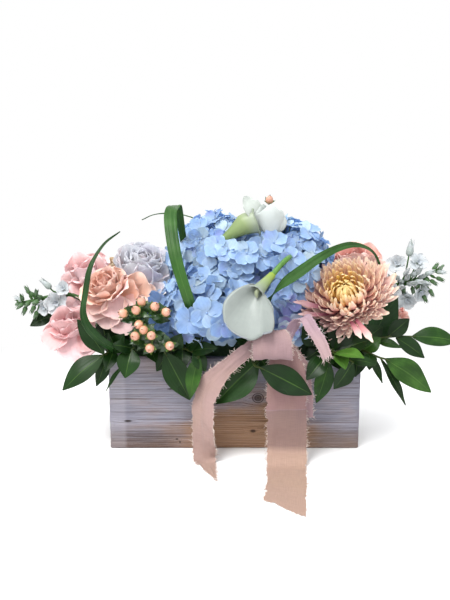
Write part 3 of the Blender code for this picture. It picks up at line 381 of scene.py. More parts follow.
def balls(piece, C, radii, axis=(0, 0, 1), rings=7, segs=9, lump=0.0, seed=0, profile=None, **numbers):
    """K closed round bodies with their long axis along `axis`; profile is half widths from end to end."""
    C = np.atleast_2d(np.asarray(C, float))
    K = len(C)
    axis = np.broadcast_to(np.asarray(axis, float), (K, 3))
    radii = np.broadcast_to(np.asarray(radii, float), (K, 3))
    X, Y, Z = frame_of(axis, (0.31, 0.52, 0.8))
    lat = np.linspace(0, math.pi, rings + 1)[1:-1]
    w = np.sin(lat) if profile is None else np.interp(np.linspace(0, 1, rings + 1)[1:-1], np.linspace(0, 1, len(profile)), profile)
    lon = np.arange(segs) * TAU / segs
    r = rng_for(seed)
    k = 1 + lump * r.normal(size=(K, len(lat), segs))
    local = np.stack([w[None, :, None] * np.cos(lon) * k, w[None, :, None] * np.sin(lon) * k, np.broadcast_to(-np.cos(lat)[None, :, None], k.shape)], -1)
    ends = np.broadcast_to(pt(0, 0, -1, 0, 0, 1).reshape(1, 2, 3), (K, 2, 3))
    local = np.concatenate([local.reshape(K, -1, 3), ends], 1) * radii[:, None]
    pts = C[:, None] + local[..., :1] * X[:, None] + local[..., 1:2] * Y[:, None] + local[..., 2:] * Z[:, None]
    g = np.arange(len(lat) * segs).reshape(len(lat), segs)
    nx = np.roll(g, -1, 1)
    quads = np.stack([g[:-1], nx[:-1], nx[1:], g[1:]], -1).reshape(-1, 4)
    c0, c1 = len(lat) * segs, len(lat) * segs + 1
    tris = np.concatenate([np.stack([np.full(segs, c0), nx[0], g[0]], -1), np.stack([np.full(segs, c1), g[-1], nx[-1]], -1)])
    m = pts.shape[1]
    off = (np.arange(K) * m)[:, None, None]
    uu = np.concatenate([np.repeat((1 - np.cos(lat)) / 2, segs), [0, 1]])
    data = {k_: (np.broadcast_to(np.asarray(x, float)[:, None], (K, m)).ravel() if np.ndim(x) == 1 else x) for k_, x in numbers.items()}
    data.setdefault("u", np.broadcast_to(uu[None], (K, m)).ravel())
    piece.add(pts.reshape(-1, 3), (quads[None] + off).reshape(-1, 4), (tris[None] + off).reshape(-1, 3), **data)


def strip_grid(ctrl, sides, widths, a, b, keel=0.0, n=129, smooth_w=True):
    """Points (a, b, 3) of a strip along a curve, as part.py lays its leaves and ribbons, with its
    directions along, across and out of the face."""
    path = smooth_path(ctrl, n)
    t = np.linspace(0, 1, a)
    c = along(path, t)
    d = unit(along(np.gradient(path, axis=0), t))
    s = along(unit(np.asarray(sides, float)), t)
    s = unit(s - d * dot(s, d))
    nrm = np.cross(d, s)
    half = (eased(widths, t) if smooth_w else along(widths, t)) / 2
    w = np.linspace(-1, 1, b)
    P = c[:, None] + s[:, None] * (half[:, None] * w[None])[..., None]
    if keel:
        P = P + nrm[:, None] * (keel * half[:, None] * (np.abs(w)[None] - 0.5))[..., None]
    return P, d, s, nrm, half


# ------------------------------------------------------------------ materials
class Look:
    """A small helper for node materials."""

    def __init__(self, name):
        self.mat = bpy.data.materials.new(name)
        self.mat.use_nodes = True
        self.tree = self.mat.node_tree
        self.tree.nodes.clear()
        self.out = self.tree.nodes.new("ShaderNodeOutputMaterial")

    def node(self, kind, **props):
        n = self.tree.nodes.new("ShaderNode" + kind)
        for k, v in props.items():
            setattr(n, k, v)
        return n

    def put(self, socket, value):
        if isinstance(value, bpy.types.NodeSocket):
            self.tree.links.new(value, socket)
        elif np.ndim(value) and len(value) == 3 and socket.type == "RGBA":
            socket.default_value = (*value, 1)
        else:
            socket.default_value = value

    def number(self, name):
        return self.node("Attribute", attribute_name=name, attribute_type="GEOMETRY").outputs["Fac"]

    def place(self):
        return self.node("TexCoord").outputs["Object"]

    def math(self, op, a, b=0.0, c=0.0, clamp=False):
        n = self.node("Math", operation=op, use_clamp=clamp)
        self.put(n.inputs[0], a)
        self.put(n.inputs[1], b)
        if len(n.inputs) > 2:
            self.put(n.inputs[2], c)
        return n.outputs[0]

    def add(self, a, b):
        return self.math("ADD", a, b)

    def mul(self, a, b):
        return self.math("MULTIPLY", a, b)

    def fit(self, x, a, b, c=0.0, d=1.0, smooth=False):
        n = self.node("MapRange", interpolation_type="SMOOTHSTEP" if smooth else "LINEAR")
        for k, v in zip(range(5), (x, a, b, c, d)):
            self.put(n.inputs[k], v)
        return n.outputs[0]

    def ramp(self, x, stops, mode="LINEAR"):
        n = self.node("ValToRGB")
        n.color_ramp.interpolation = mode
        while len(n.color_ramp.elements) < len(stops):
            n.color_ramp.elements.new(1.0)
        for e, (at, colour) in zip(n.color_ramp.elements, stops):
            e.position = at
            e.color = (*colour, 1) if np.ndim(colour) else (colour, colour, colour, 1)
        self.put(n.inputs[0], x)
        return n.outputs["Color"]

    def noise(self, scale, detail=3.0, rough=0.5, vector=None, distortion=0.0, colour=False):
        n = self.node("TexNoise")
        self.put(n.inputs["Vector"], self.place() if vector is None else vector)
        self.put(n.inputs["Scale"], scale)
        self.put(n.inputs["Detail"], detail)
        self.put(n.inputs["Roughness"], rough)
        self.put(n.inputs["Distortion"], distortion)
        return n.outputs["Color" if colour else "Fac"]

    def voronoi(self, scale, vector=None, feature="F1", output="Distance"):
        n = self.node("TexVoronoi", feature=feature)
        self.put(n.inputs["Vector"], self.place() if vector is None else vector)
        self.put(n.inputs["Scale"], scale)
        return n.outputs[output]

    def split(self, vector):
        return self.node_of("SeparateXYZ", vector).outputs

    def node_of(self, kind, first, **props):
        n = self.node(kind, **props)
        self.put(n.inputs[0], first)
        return n

    def join(self, x, y, z):
        n = self.node("CombineXYZ")
        for i, q in enumerate((x, y, z)):
            self.put(n.inputs[i], q)
        return n.outputs[0]

    def scaled(self, vector, scale, shift=(0, 0, 0)):
        n = self.node("Mapping")
        self.put(n.inputs["Vector"], vector)
        n.inputs["Scale"].default_value = scale
        n.inputs["Location"].default_value = shift
        return n.outputs[0]

    def mix(self, f, a, b, blend="MIX"):
        n = self.node("Mix", data_type="RGBA", blend_type=blend)
        self.put(n.inputs[0], f)
        self.put(n.inputs[6], a)
        self.put(n.inputs[7], b)
        return n.outputs[2]

    def bump(self, height, distance, strength=1.0, normal=None):
        n = self.node("Bump")
        n.inputs["Strength"].default_value = strength
        n.inputs["Distance"].default_value = distance
        self.put(n.inputs["Height"], height)
        if normal is not None:
            self.put(n.inputs["Normal"], normal)
        return n.outputs[0]

    def surface(self, colour, roughness, normal=None, through=0.0, through_colour=None, sheen=0.0, sheen_rough=0.5,
                sheen_tint=(1, 1, 1), specular=0.5, coat=0.0, coat_rough=0.2, ior=1.45, level=0.87):
        p = self.node("BsdfPrincipled")
        if level != 1.0:
            colour = self.mix(1.0, colour, (level, level, level), "MULTIPLY")
        self.put(p.inputs["Base Color"], colour)
        self.put(p.inputs["Roughness"], roughness)
        p.inputs["Specular IOR Level"].default_value = specular
        p.inputs["IOR"].default_value = ior
        if sheen:
            p.inputs["Sheen Weight"].default_value = sheen
            p.inputs["Sheen Roughness"].default_value = sheen_rough
            p.inputs["Sheen Tint"].default_value = (*sheen_tint, 1)
        if coat:
            p.inputs["Coat Weight"].default_value = coat
            p.inputs["Coat Roughness"].default_value = coat_rough
        if normal is not None:
            self.put(p.inputs["Normal"], normal)
        last = p.outputs[0]
        if through:
            t = self.node("BsdfTranslucent")
            self.put(t.inputs["Color"], colour if through_colour is None else through_colour)
            if normal is not None:
                self.put(t.inputs["Normal"], normal)
            m = self.node("MixShader")
            m.inputs[0].default_value = through
            self.put(m.inputs[1], last)
            self.put(m.inputs[2], t.outputs[0])
            last = m.outputs[0]
        self.tree.links.new(last, self.out.inputs["Surface"])
        return self.mat


def rgb(r, g, b):
    """A colour given in 0..255 display values, as the linear one that a shader takes."""
    return tuple(((c / 255 + 0.055) / 1.055) ** 2.4 if c > 10.3 else c / 255 / 12.92 for c in (r, g, b))


def petal_look(name, base, tip, inner=None, outer=None, deep=None, veins=0.06, vein_count=9.0, blotch=0.10, rough=0.55,
               through=0.30, sheen=0.12, edge=None, green=(104, 128, 62), rnd_dark=0.16, patch=None, bump=0.00012, warm=None, boost=(1, 1, 1), lilac=None, level=0.87):
    """Petals: base to tip colours along u, tinted on the outer face, drawn in painted shade deep in the flower (tone),
    with fine veins along each petal and faint blotches. Colours are display values."""
    k = Look(name)

    def lit(*c):
        return tuple(min(0.95, x * g) for x, g in zip(rgb(*c), boost))

    u, v, r, side, tone = (k.number(n) for n in ("u", "v", "rnd", "side", "tone"))
    where = k.place()
    colour = k.ramp(u, [(0.0, lit(*base)), (0.45, lit(*(inner or tip))), (1.0, lit(*tip))])
    if patch is not None:  # (colour, size in 1/m, from, to) soft areas over the whole flower
        c, size, lo, hi = patch
        colour = k.mix(k.fit(k.noise(size, 1.5, 0.5, where), lo, hi, 0.0, 1.0, True), colour, lit(*c))
    if outer is not None:
        colour = k.mix(k.fit(side, 0.2, -0.2, 0.0, 0.85), colour, lit(*outer))
    if lilac is not None:  # (centre in metres, radius, colour): a few florets there have turned lilac
        at, reach, c = lilac
        away = k.node("VectorMath", operation="DISTANCE")
        k.put(away.inputs[0], where)
        away.inputs[1].default_value = at
        colour = k.mix(k.fit(k.add(away.outputs["Value"], k.mul(k.add(k.noise(70.0, 1.0), -0.5), 0.02)), reach, reach * 0.55, 0.0, 0.9, True), colour, lit(*c))
    if warm is not None:  # (colour, share): some petals lean to another colour
        c, share = warm
        colour = k.mix(k.mul(k.fit(k.math("FRACT", k.mul(r, 7.13)), 1.0 - share, 1.0, 0.0, 1.0, True), 0.8), colour, lit(*c))
    if edge is not None:
        rim = k.math("MAXIMUM", k.fit(k.math("ABSOLUTE", v), 0.72, 1.0, 0, 1, True), k.fit(u, 0.84, 1.0, 0, 1, True))
        colour = k.mix(k.mul(rim, 0.75), colour, lit(*edge))
    # veins fan out from the base
    fan = k.mul(v, k.add(0.55, k.mul(u, 0.45)))
    wob = k.mul(k.add(k.noise(60.0, 2.0, 0.5, where), -0.5), 1.2)
    line = k.math("SINE", k.add(k.mul(fan, vein_count * math.pi), wob))
    line = k.fit(line, 0.35, 1.0, 0.0, 1.0, True)
    colour = k.mix(k.mul(line, veins * 2.2), colour, k.mix(1.0, colour, (0.72, 0.72, 0.74), "MULTIPLY"))
    speck = k.fit(k.noise(160.0, 3.0, 0.6, where), 0.3, 0.7, 1.0 - blotch, 1.0 + blotch)
    dark = k.fit(r, 0.0, 1.0, 1.0 - rnd_dark, 1.0 + rnd_dark * 0.4)
    gain = k.mul(speck, dark)
    colour = k.mix(1.0, colour, k.join(gain, gain, gain), "MULTIPLY")
    # painted shade: tone draws the petals that sit deep in the flower towards the deep colour
    if deep is not None:
        colour = k.mix(k.fit(tone, 0.0, 1.0, 0.0, 0.92), colour, lit(*deep))
    colour = k.mix(k.number("green"), colour, k.ramp(k.noise(220.0, 3.0), [(0.25, rgb(*(0.72 * np.array(green)))), (0.75, rgb(*green))]))
    height = k.add(k.mul(line, -0.6), k.noise(900.0, 2.0, 0.6, where))
    return k.surface(colour, k.fit(k.noise(300.0, 2.0), 0.2, 0.8, rough - 0.08, rough + 0.08), k.bump(height, bump, 0.8), through, None, sheen, 0.4, level=level)


def green_look(name, dark, mid, light, rough=0.32, veins=True, pinnate=False, through=0.14, coat=0.12, twig=(70, 84, 40), specular=0.5,
               back=(96, 118, 74)):
    """Leaves: u along, v across, paler underneath, with a pale midrib and fine veins; green = 1 is a twig."""
    k = Look(name)
    u, v, r, side = (k.number(n) for n in ("u", "v", "rnd", "side"))
    av = k.math("ABSOLUTE", v)
    colour = k.ramp(k.add(k.mul(r, 0.7), k.mul(k.noise(70.0, 2.0), 0.3)), [(0.05, rgb(*dark)), (0.5, rgb(*mid)), (0.98, rgb(*light))])
    if pinnate:
        ph = k.add(k.mul(k.math("SUBTRACT", u, k.mul(av, 0.28)), 9.0 * TAU), k.mul(k.noise(90.0, 2.0), 1.5))
    else:
        ph = k.add(k.mul(v, 8.5 * math.pi), k.mul(k.noise(50.0, 1.0), 0.9))
    line = k.fit(k.math("SINE", ph), 0.45, 1.0, 0.0, 1.0, True)
    rib = k.fit(av, 0.07, 0.0, 0.0, 1.0, True)
    if veins:
        colour = k.mix(k.mul(line, 0.22), colour, k.mix(1.0, colour, (1.75, 1.6, 1.45), "MULTIPLY"))
    colour = k.mix(k.mul(rib, 0.26), colour, rgb(*(0.6 * np.array(light) + 0.4 * np.array((140, 166, 96)))))
    under = k.mix(0.65, colour, rgb(*back))
    colour = k.mix(k.fit(side, 0.2, -0.2, 0.0, 1.0), colour, under)
    spot = k.fit(k.noise(34.0, 2.0, 0.5), 0.3, 0.72, 0.80, 1.22, True)
    colour = k.mix(1.0, colour, k.join(spot, spot, spot), "MULTIPLY")
    bark = k.ramp(k.noise(500.0, 3.0, 0.6, k.scaled(k.place(), (1, 1, 0.3))), [(0.3, rgb(*(0.7 * np.array(twig)))), (0.7, rgb(*twig))])
    colour = k.mix(k.number("green"), colour, bark)
    height = k.add(k.add(k.mul(line, -0.3), k.mul(rib, -0.7)), k.mul(k.noise(90.0, 1.0), 0.35))
    rough_ = k.fit(k.noise(30.0, 1.0), 0.25, 0.75, rough - 0.04, rough + 0.08)
    rough_ = k.math("MAXIMUM", rough_, k.mul(k.fit(side, 0.2, -0.2, 0.0, 1.0), 0.6))
    return k.surface(colour, rough_, k.bump(height, 0.00025, 0.8), through, None, coat=coat, coat_rough=0.22, specular=specular)


LOOKS = {}
LOOKS["blue"] = petal_look("hydrangea_blue_petals", (204, 220, 240), (176, 204, 242), inner=(184, 208, 242), edge=(208, 226, 248), outer=(180, 204, 240),
                           deep=(92, 134, 186), veins=0.07, vein_count=7.0, blotch=0.08, rough=0.62, through=0.50, patch=((180, 184, 232), 26.0, 0.56, 0.78),
                           warm=((226, 236, 250), 0.34), rnd_dark=0.15, green=(112, 138, 88), boost=(1.0, 1.07, 1.19), lilac=((0.070, -0.068, 0.166), 0.030, (176, 152, 206)), level=0.90)
# calla and calla_top are the same white calla in two copies: a greyer one for the front calla, which faces the key
# light, and a lighter one for the high callas, which face away from it. The difference is painted shade and painted
# light.
LOOKS["calla"] = petal_look("calla_lily_white_painted_shade", (150, 176, 62), (166, 173, 178), inner=(150, 157, 158), outer=(158, 166, 160), deep=(150, 160, 120), veins=0.02,
                            vein_count=30.0, blotch=0.03, rough=0.4, through=0.24, sheen=0.05, rnd_dark=0.02, bump=0.00005, green=(120, 152, 70))
LOOKS["calla_top"] = petal_look("calla_lily_white_painted_light", (72, 118, 34), (220, 225, 226), inner=(186, 200, 156), outer=(216, 223, 222), deep=(124, 144, 88), veins=0.02,
                                vein_count=30.0, blotch=0.03, rough=0.4, through=0.24, sheen=0.05, rnd_dark=0.02, bump=0.00005, green=(104, 144, 56), level=0.92)
LOOKS["peony"] = petal_look("peony_blush_white", (228, 214, 218), (230, 229, 234), inner=(227, 223, 229), deep=(222, 206, 214), edge=(236, 235, 239), veins=0.05, blotch=0.05,
                            rough=0.6, through=0.60, rnd_dark=0.05, patch=((222, 216, 228), 30.0, 0.5, 0.75), warm=((238, 220, 222), 0.3), boost=(1.06, 1.09, 1.08), level=0.97)
LOOKS["peach"] = petal_look("rose_peach", (240, 164, 130), (246, 212, 192), inner=(244, 198, 170), outer=(246, 210, 194), deep=(238, 172, 142), edge=(250, 222, 206), veins=0.04,
                            blotch=0.05, rough=0.55, through=0.38, rnd_dark=0.07, warm=((248, 216, 216), 0.34), boost=(1.02, 1.04, 1.09), level=0.96)
LOOKS["pink"] = petal_look("rose_pink", (238, 152, 148), (246, 212, 208), inner=(244, 200, 196), outer=(246, 210, 208), deep=(234, 142, 138), edge=(250, 222, 220), veins=0.04,
                           blotch=0.05, rough=0.55, through=0.38, rnd_dark=0.07, warm=((246, 222, 222), 0.25), boost=(1.02, 1.08, 1.12), level=0.98)
LOOKS["pink_low"] = petal_look("rose_pink_deep", (222, 112, 114), (240, 198, 194), inner=(236, 180, 177), outer=(238, 194, 192), deep=(196, 88, 94), edge=(247, 214, 212), veins=0.05,
                               blotch=0.06, rough=0.55, through=0.34, rnd_dark=0.10, warm=((242, 212, 212), 0.2), boost=(1.02, 1.06, 1.10), level=0.94)
LOOKS["coral"] = petal_look("rose_coral", (236, 140, 126), (244, 212, 200), inner=(242, 198, 184), outer=(242, 206, 194), deep=(232, 132, 118), edge=(246, 218, 208), veins=0.04,
                            blotch=0.05, rough=0.55, through=0.38, rnd_dark=0.10, boost=(1.04, 1.1, 1.14), level=0.98)
LOOKS["cream"] = petal_look("carnation_cream", (232, 206, 166), (240, 222, 196), inner=(238, 212, 178), deep=(216, 176, 136), veins=0.05, blotch=0.06,
                            rough=0.62, through=0.40, rnd_dark=0.10, boost=(1.08, 1.1, 1.1))
LOOKS["larkspur"] = petal_look("larkspur_white_blue", (214, 222, 220), (234, 238, 240), inner=(226, 232, 236), deep=(176, 190, 204), edge=(240, 242, 244), veins=0.08,
                               vein_count=5.0, blotch=0.06, rough=0.6, through=0.40, rnd_dark=0.12, green=(86, 134, 66), level=0.86)
LOOKS["leaf"] = green_look("ruscus_leaf", (12, 32, 10), (28, 58, 18), (84, 128, 48), rough=0.30, specular=0.22, coat=0.0)
LOOKS["leaf_wide"] = green_look("salal_leaf", (10, 32, 16), (18, 46, 22), (44, 78, 36), pinnate=True, rough=0.36, specular=0.22, coat=0.0)
LOOKS["grass"] = green_look("lily_grass", (18, 46, 15), (38, 77, 29), (74, 114, 52), rough=0.42, through=0.16, coat=0.0, specular=0.24, back=(60, 98, 46))


def chrys_look():
    """Bronze and rose chrysanthemum: tone runs from 0 in the outer rows to 1 in the yellow heart, rnd is how
    mauve a petal is; the backs are deep rose with cream tips."""
    k = Look("chrysanthemum_bronze_rose")
    u, v, r, side, tone = (k.number(n) for n in ("u", "v", "rnd", "side", "tone"))
    outer = k.ramp(u, [(0.0, rgb(168, 70, 96)), (0.35, rgb(222, 156, 158)), (0.72, rgb(247, 220, 212)), (1.0, rgb(254, 243, 228))])
    middle = k.ramp(u, [(0.0, rgb(190, 98, 102)), (0.35, rgb(234, 184, 166)), (0.7, rgb(250, 226, 200)), (1.0, rgb(254, 244, 218))])
    heart = k.ramp(u, [(0.0, rgb(240, 196, 104)), (0.4, rgb(250, 220, 122)), (0.8, rgb(253, 234, 146)), (1.0, rgb(253, 240, 176))])
    back0 = k.ramp(u, [(0.0, rgb(146, 44, 78)), (0.5, rgb(208, 124, 138)), (0.78, rgb(244, 206, 192)), (1.0, rgb(254, 242, 224))])
    back1 = k.ramp(u, [(0.0, rgb(234, 180, 112)), (0.5, rgb(248, 214, 142)), (1.0, rgb(252, 234, 176))])
    t0, t1 = k.fit(tone, 0.15, 0.48, 0.0, 1.0, True), k.fit(tone, 0.42, 0.72, 0.0, 1.0, True)
    face = k.mix(t1, k.mix(t0, outer, middle), heart)
    back = k.mix(t1, back0, back1)
    colour = k.mix(k.fit(side, 0.2, -0.2, 0.0, 1.0), face, back)
    mauve = k.ramp(u, [(0.0, rgb(124, 54, 78)), (0.45, rgb(178, 118, 134)), (1.0, rgb(226, 190, 190))])
    colour = k.mix(k.mul(r, k.fit(tone, 0.6, 0.2, 0.0, 0.85)), colour, mauve)
    line = k.fit(k.math("SINE", k.add(k.mul(v, 5.0 * math.pi), k.mul(k.noise(120.0, 2.0), 2.0))), 0.2, 1.0, 0.0, 1.0, True)
    colour = k.mix(k.mul(line, 0.16), colour, k.mix(1.0, colour, (0.74, 0.6, 0.62), "MULTIPLY"))
    speck = k.fit(k.noise(190.0, 3.0, 0.6), 0.3, 0.7, 0.93, 1.06)
    colour = k.mix(1.0, colour, k.join(speck, speck, speck), "MULTIPLY")
    colour = k.mix(k.number("green"), colour, rgb(104, 128, 62))
    return k.surface(colour, k.fit(k.noise(300.0, 2.0), 0.2, 0.8, 0.5, 0.66), k.bump(k.add(k.mul(line, -0.6), k.noise(900.0, 2.0)), 0.00012, 0.8), 0.42, None, 0.12, 0.4, level=1.0)


LOOKS["chrys"] = chrys_look()


def stem_look():
    k = Look("cut_stem_green")
    n = k.noise(180.0, 3.0, 0.6, k.scaled(k.place(), (1, 1, 0.25)))
    c = k.ramp(n, [(0.25, rgb(70, 108, 50)), (0.55, rgb(100, 140, 68)), (0.85, rgb(136, 168, 92))])
    # painted shade: the stems are drawn darker low down, below 0.2 m, where they run under the heads into the box
    c = k.mix(k.fit(k.split(k.place())[2], 0.12, 0.2, 0.55, 0.0), c, rgb(58, 76, 36))
    return k.surface(c, 0.42, k.bump(k.noise(900.0, 2.0), 0.0002, 0.6), 0.08, coat=0.05)


LOOKS["stem"] = stem_look()


def calla_stem_look():
    k = Look("calla_stem_green")
    n = k.noise(150.0, 3.0, 0.6, k.scaled(k.place(), (1, 1, 0.25)))
    c = k.ramp(n, [(0.2, rgb(60, 108, 38)), (0.55, rgb(84, 132, 54)), (0.85, rgb(116, 160, 76))])
    c = k.mix(k.fit(k.number("u"), 0.0, 0.16, 0.8, 0.0, True), c, rgb(196, 208, 148))
    return k.surface(c, 0.35, k.bump(k.noise(900.0, 2.0), 0.0002, 0.5), 0.10, coat=0.08)


LOOKS["calla_stem"] = calla_stem_look()


def berry_look():
    """Fruit: tone 0 skin, 1 the dark style at the tip; green = 1 sepals and stalks."""
    k = Look("hypericum_fruit")
    u, r = k.number("u"), k.number("rnd")
    c = k.ramp(k.add(k.mul(u, 0.75), k.mul(r, 0.25)), [(0.05, rgb(196, 158, 116)), (0.5, rgb(218, 158, 126)), (0.8, rgb(224, 170, 150)), (1.0, rgb(190, 128, 100))])
    c = k.mix(k.fit(k.noise(420.0, 3.0), 0.45, 0.7, 0.0, 0.35, True), c, rgb(204, 148, 112))
    c = k.mix(k.number("tone"), c, rgb(72, 52, 34))
    leafy = k.ramp(k.add(k.mul(r, 0.7), k.mul(k.noise(150.0, 2.0), 0.3)), [(0.1, rgb(18, 44, 18)), (0.5, rgb(52, 88, 36)), (0.9, rgb(112, 146, 74))])
    c = k.mix(k.number("green"), c, leafy)
    return k.surface(c, k.fit(k.noise(200.0, 2.0), 0.3, 0.7, 0.26, 0.4), k.bump(k.noise(600.0, 2.0), 0.00015, 0.5), 0.06, coat=0.2, coat_rough=0.25)


LOOKS["berry"] = berry_look()


def ribbon_look(name="torn_silk_ribbon", painted_light_gain=None):
    """Thin torn silk: u is mm along the strip, v mm across it, tone the shade of the strip; rnd is not used."""
    k = Look(name)
    u, v, tone = k.number("u"), k.number("v"), k.number("tone")
    warp = k.noise(1.0, 3.0, 0.6, k.join(k.mul(u, 0.05), k.mul(v, 2.4), 3.0))
    weft = k.noise(1.0, 3.0, 0.6, k.join(k.mul(u, 2.6), k.mul(v, 0.07), 9.0))
    slub = k.fit(k.add(k.mul(warp, 0.5), k.mul(weft, 0.5)), 0.32, 0.68, 0.82, 1.14)
    # painted shade: tone runs from the pale lit cloth through lilac to dusky pink where the strip lies in shade or
    # hangs in two layers; from 0.97 up it is the pale thread colour
    base = k.ramp(tone, [(0.0, rgb(198, 167, 149)), (0.3, rgb(192, 162, 156)), (0.6, rgb(182, 152, 160)), (0.85, rgb(168, 131, 129)), (0.93, rgb(172, 138, 132)), (0.97, rgb(236, 222, 214))])
    soft = k.noise(16.0, 2.0)
    base = k.mix(k.fit(soft, 0.4, 0.75, 0.0, 0.35, True), base, rgb(200, 170, 146))
    c = k.mix(1.0, base, k.join(slub, slub, slub), "MULTIPLY")
    # painted light: the gain draws a lighter copy of the same cloth
    if painted_light_gain is not None:
        c = k.mix(1.0, c, painted_light_gain, "MULTIPLY")
    # painted shade: the green number darkens the cloth where the dark box shows through it and where it lies in shade
    # by the knot
    c = k.mix(k.number("green"), c, k.mix(1.0, c, (0.62, 0.585, 0.60), "MULTIPLY"))
    over = k.math("SINE", k.mul(u, TAU / 0.9))
    under = k.math("SINE", k.mul(v, TAU / 0.9))
    weave = k.mul(over, under)
    h = k.add(k.mul(weave, 0.25), k.add(k.mul(warp, 0.9), k.mul(weft, 0.6)))
    return k.surface(c, 0.62, k.bump(h, 0.00016, 0.7), 0.36, None, 0.35, 0.35, (1.0, 0.94, 0.92), specular=0.35)


LOOKS["ribbon"] = ribbon_look()
# a lighter copy of the cloth for the right loop, which is turned away from the lamps: painted light
LOOKS["ribbon_painted_light"] = ribbon_look("torn_silk_ribbon_painted_light", (1.2, 1.24, 1.38))


def foam_look():
    k = Look("wet_floral_foam")
    c = k.ramp(k.noise(260.0, 4.0, 0.7), [(0.3, rgb(24, 44, 26)), (0.7, rgb(46, 74, 44))])
    pores = k.fit(k.voronoi(900.0), 0.0, 0.45, 0.0, 1.0)
    c = k.mix(0.5, c, k.mix(1.0, c, k.join(pores, pores, pores), "MULTIPLY"))
    return k.surface(c, 0.92, k.bump(k.add(pores, k.noise(400.0, 4.0)), 0.0008, 0.9))


def liner_look():
    k = Look("black_liner_plastic")
    c = k.ramp(k.noise(90.0, 4.0), [(0.3, rgb(16, 17, 17)), (0.7, rgb(30, 31, 31))])
    return k.surface(c, k.fit(k.noise(140.0, 3.0), 0.3, 0.7, 0.3, 0.5), k.bump(k.noise(500.0, 2.0), 0.0002, 0.4))


LOOKS["foam"], LOOKS["liner"] = foam_look(), liner_look()


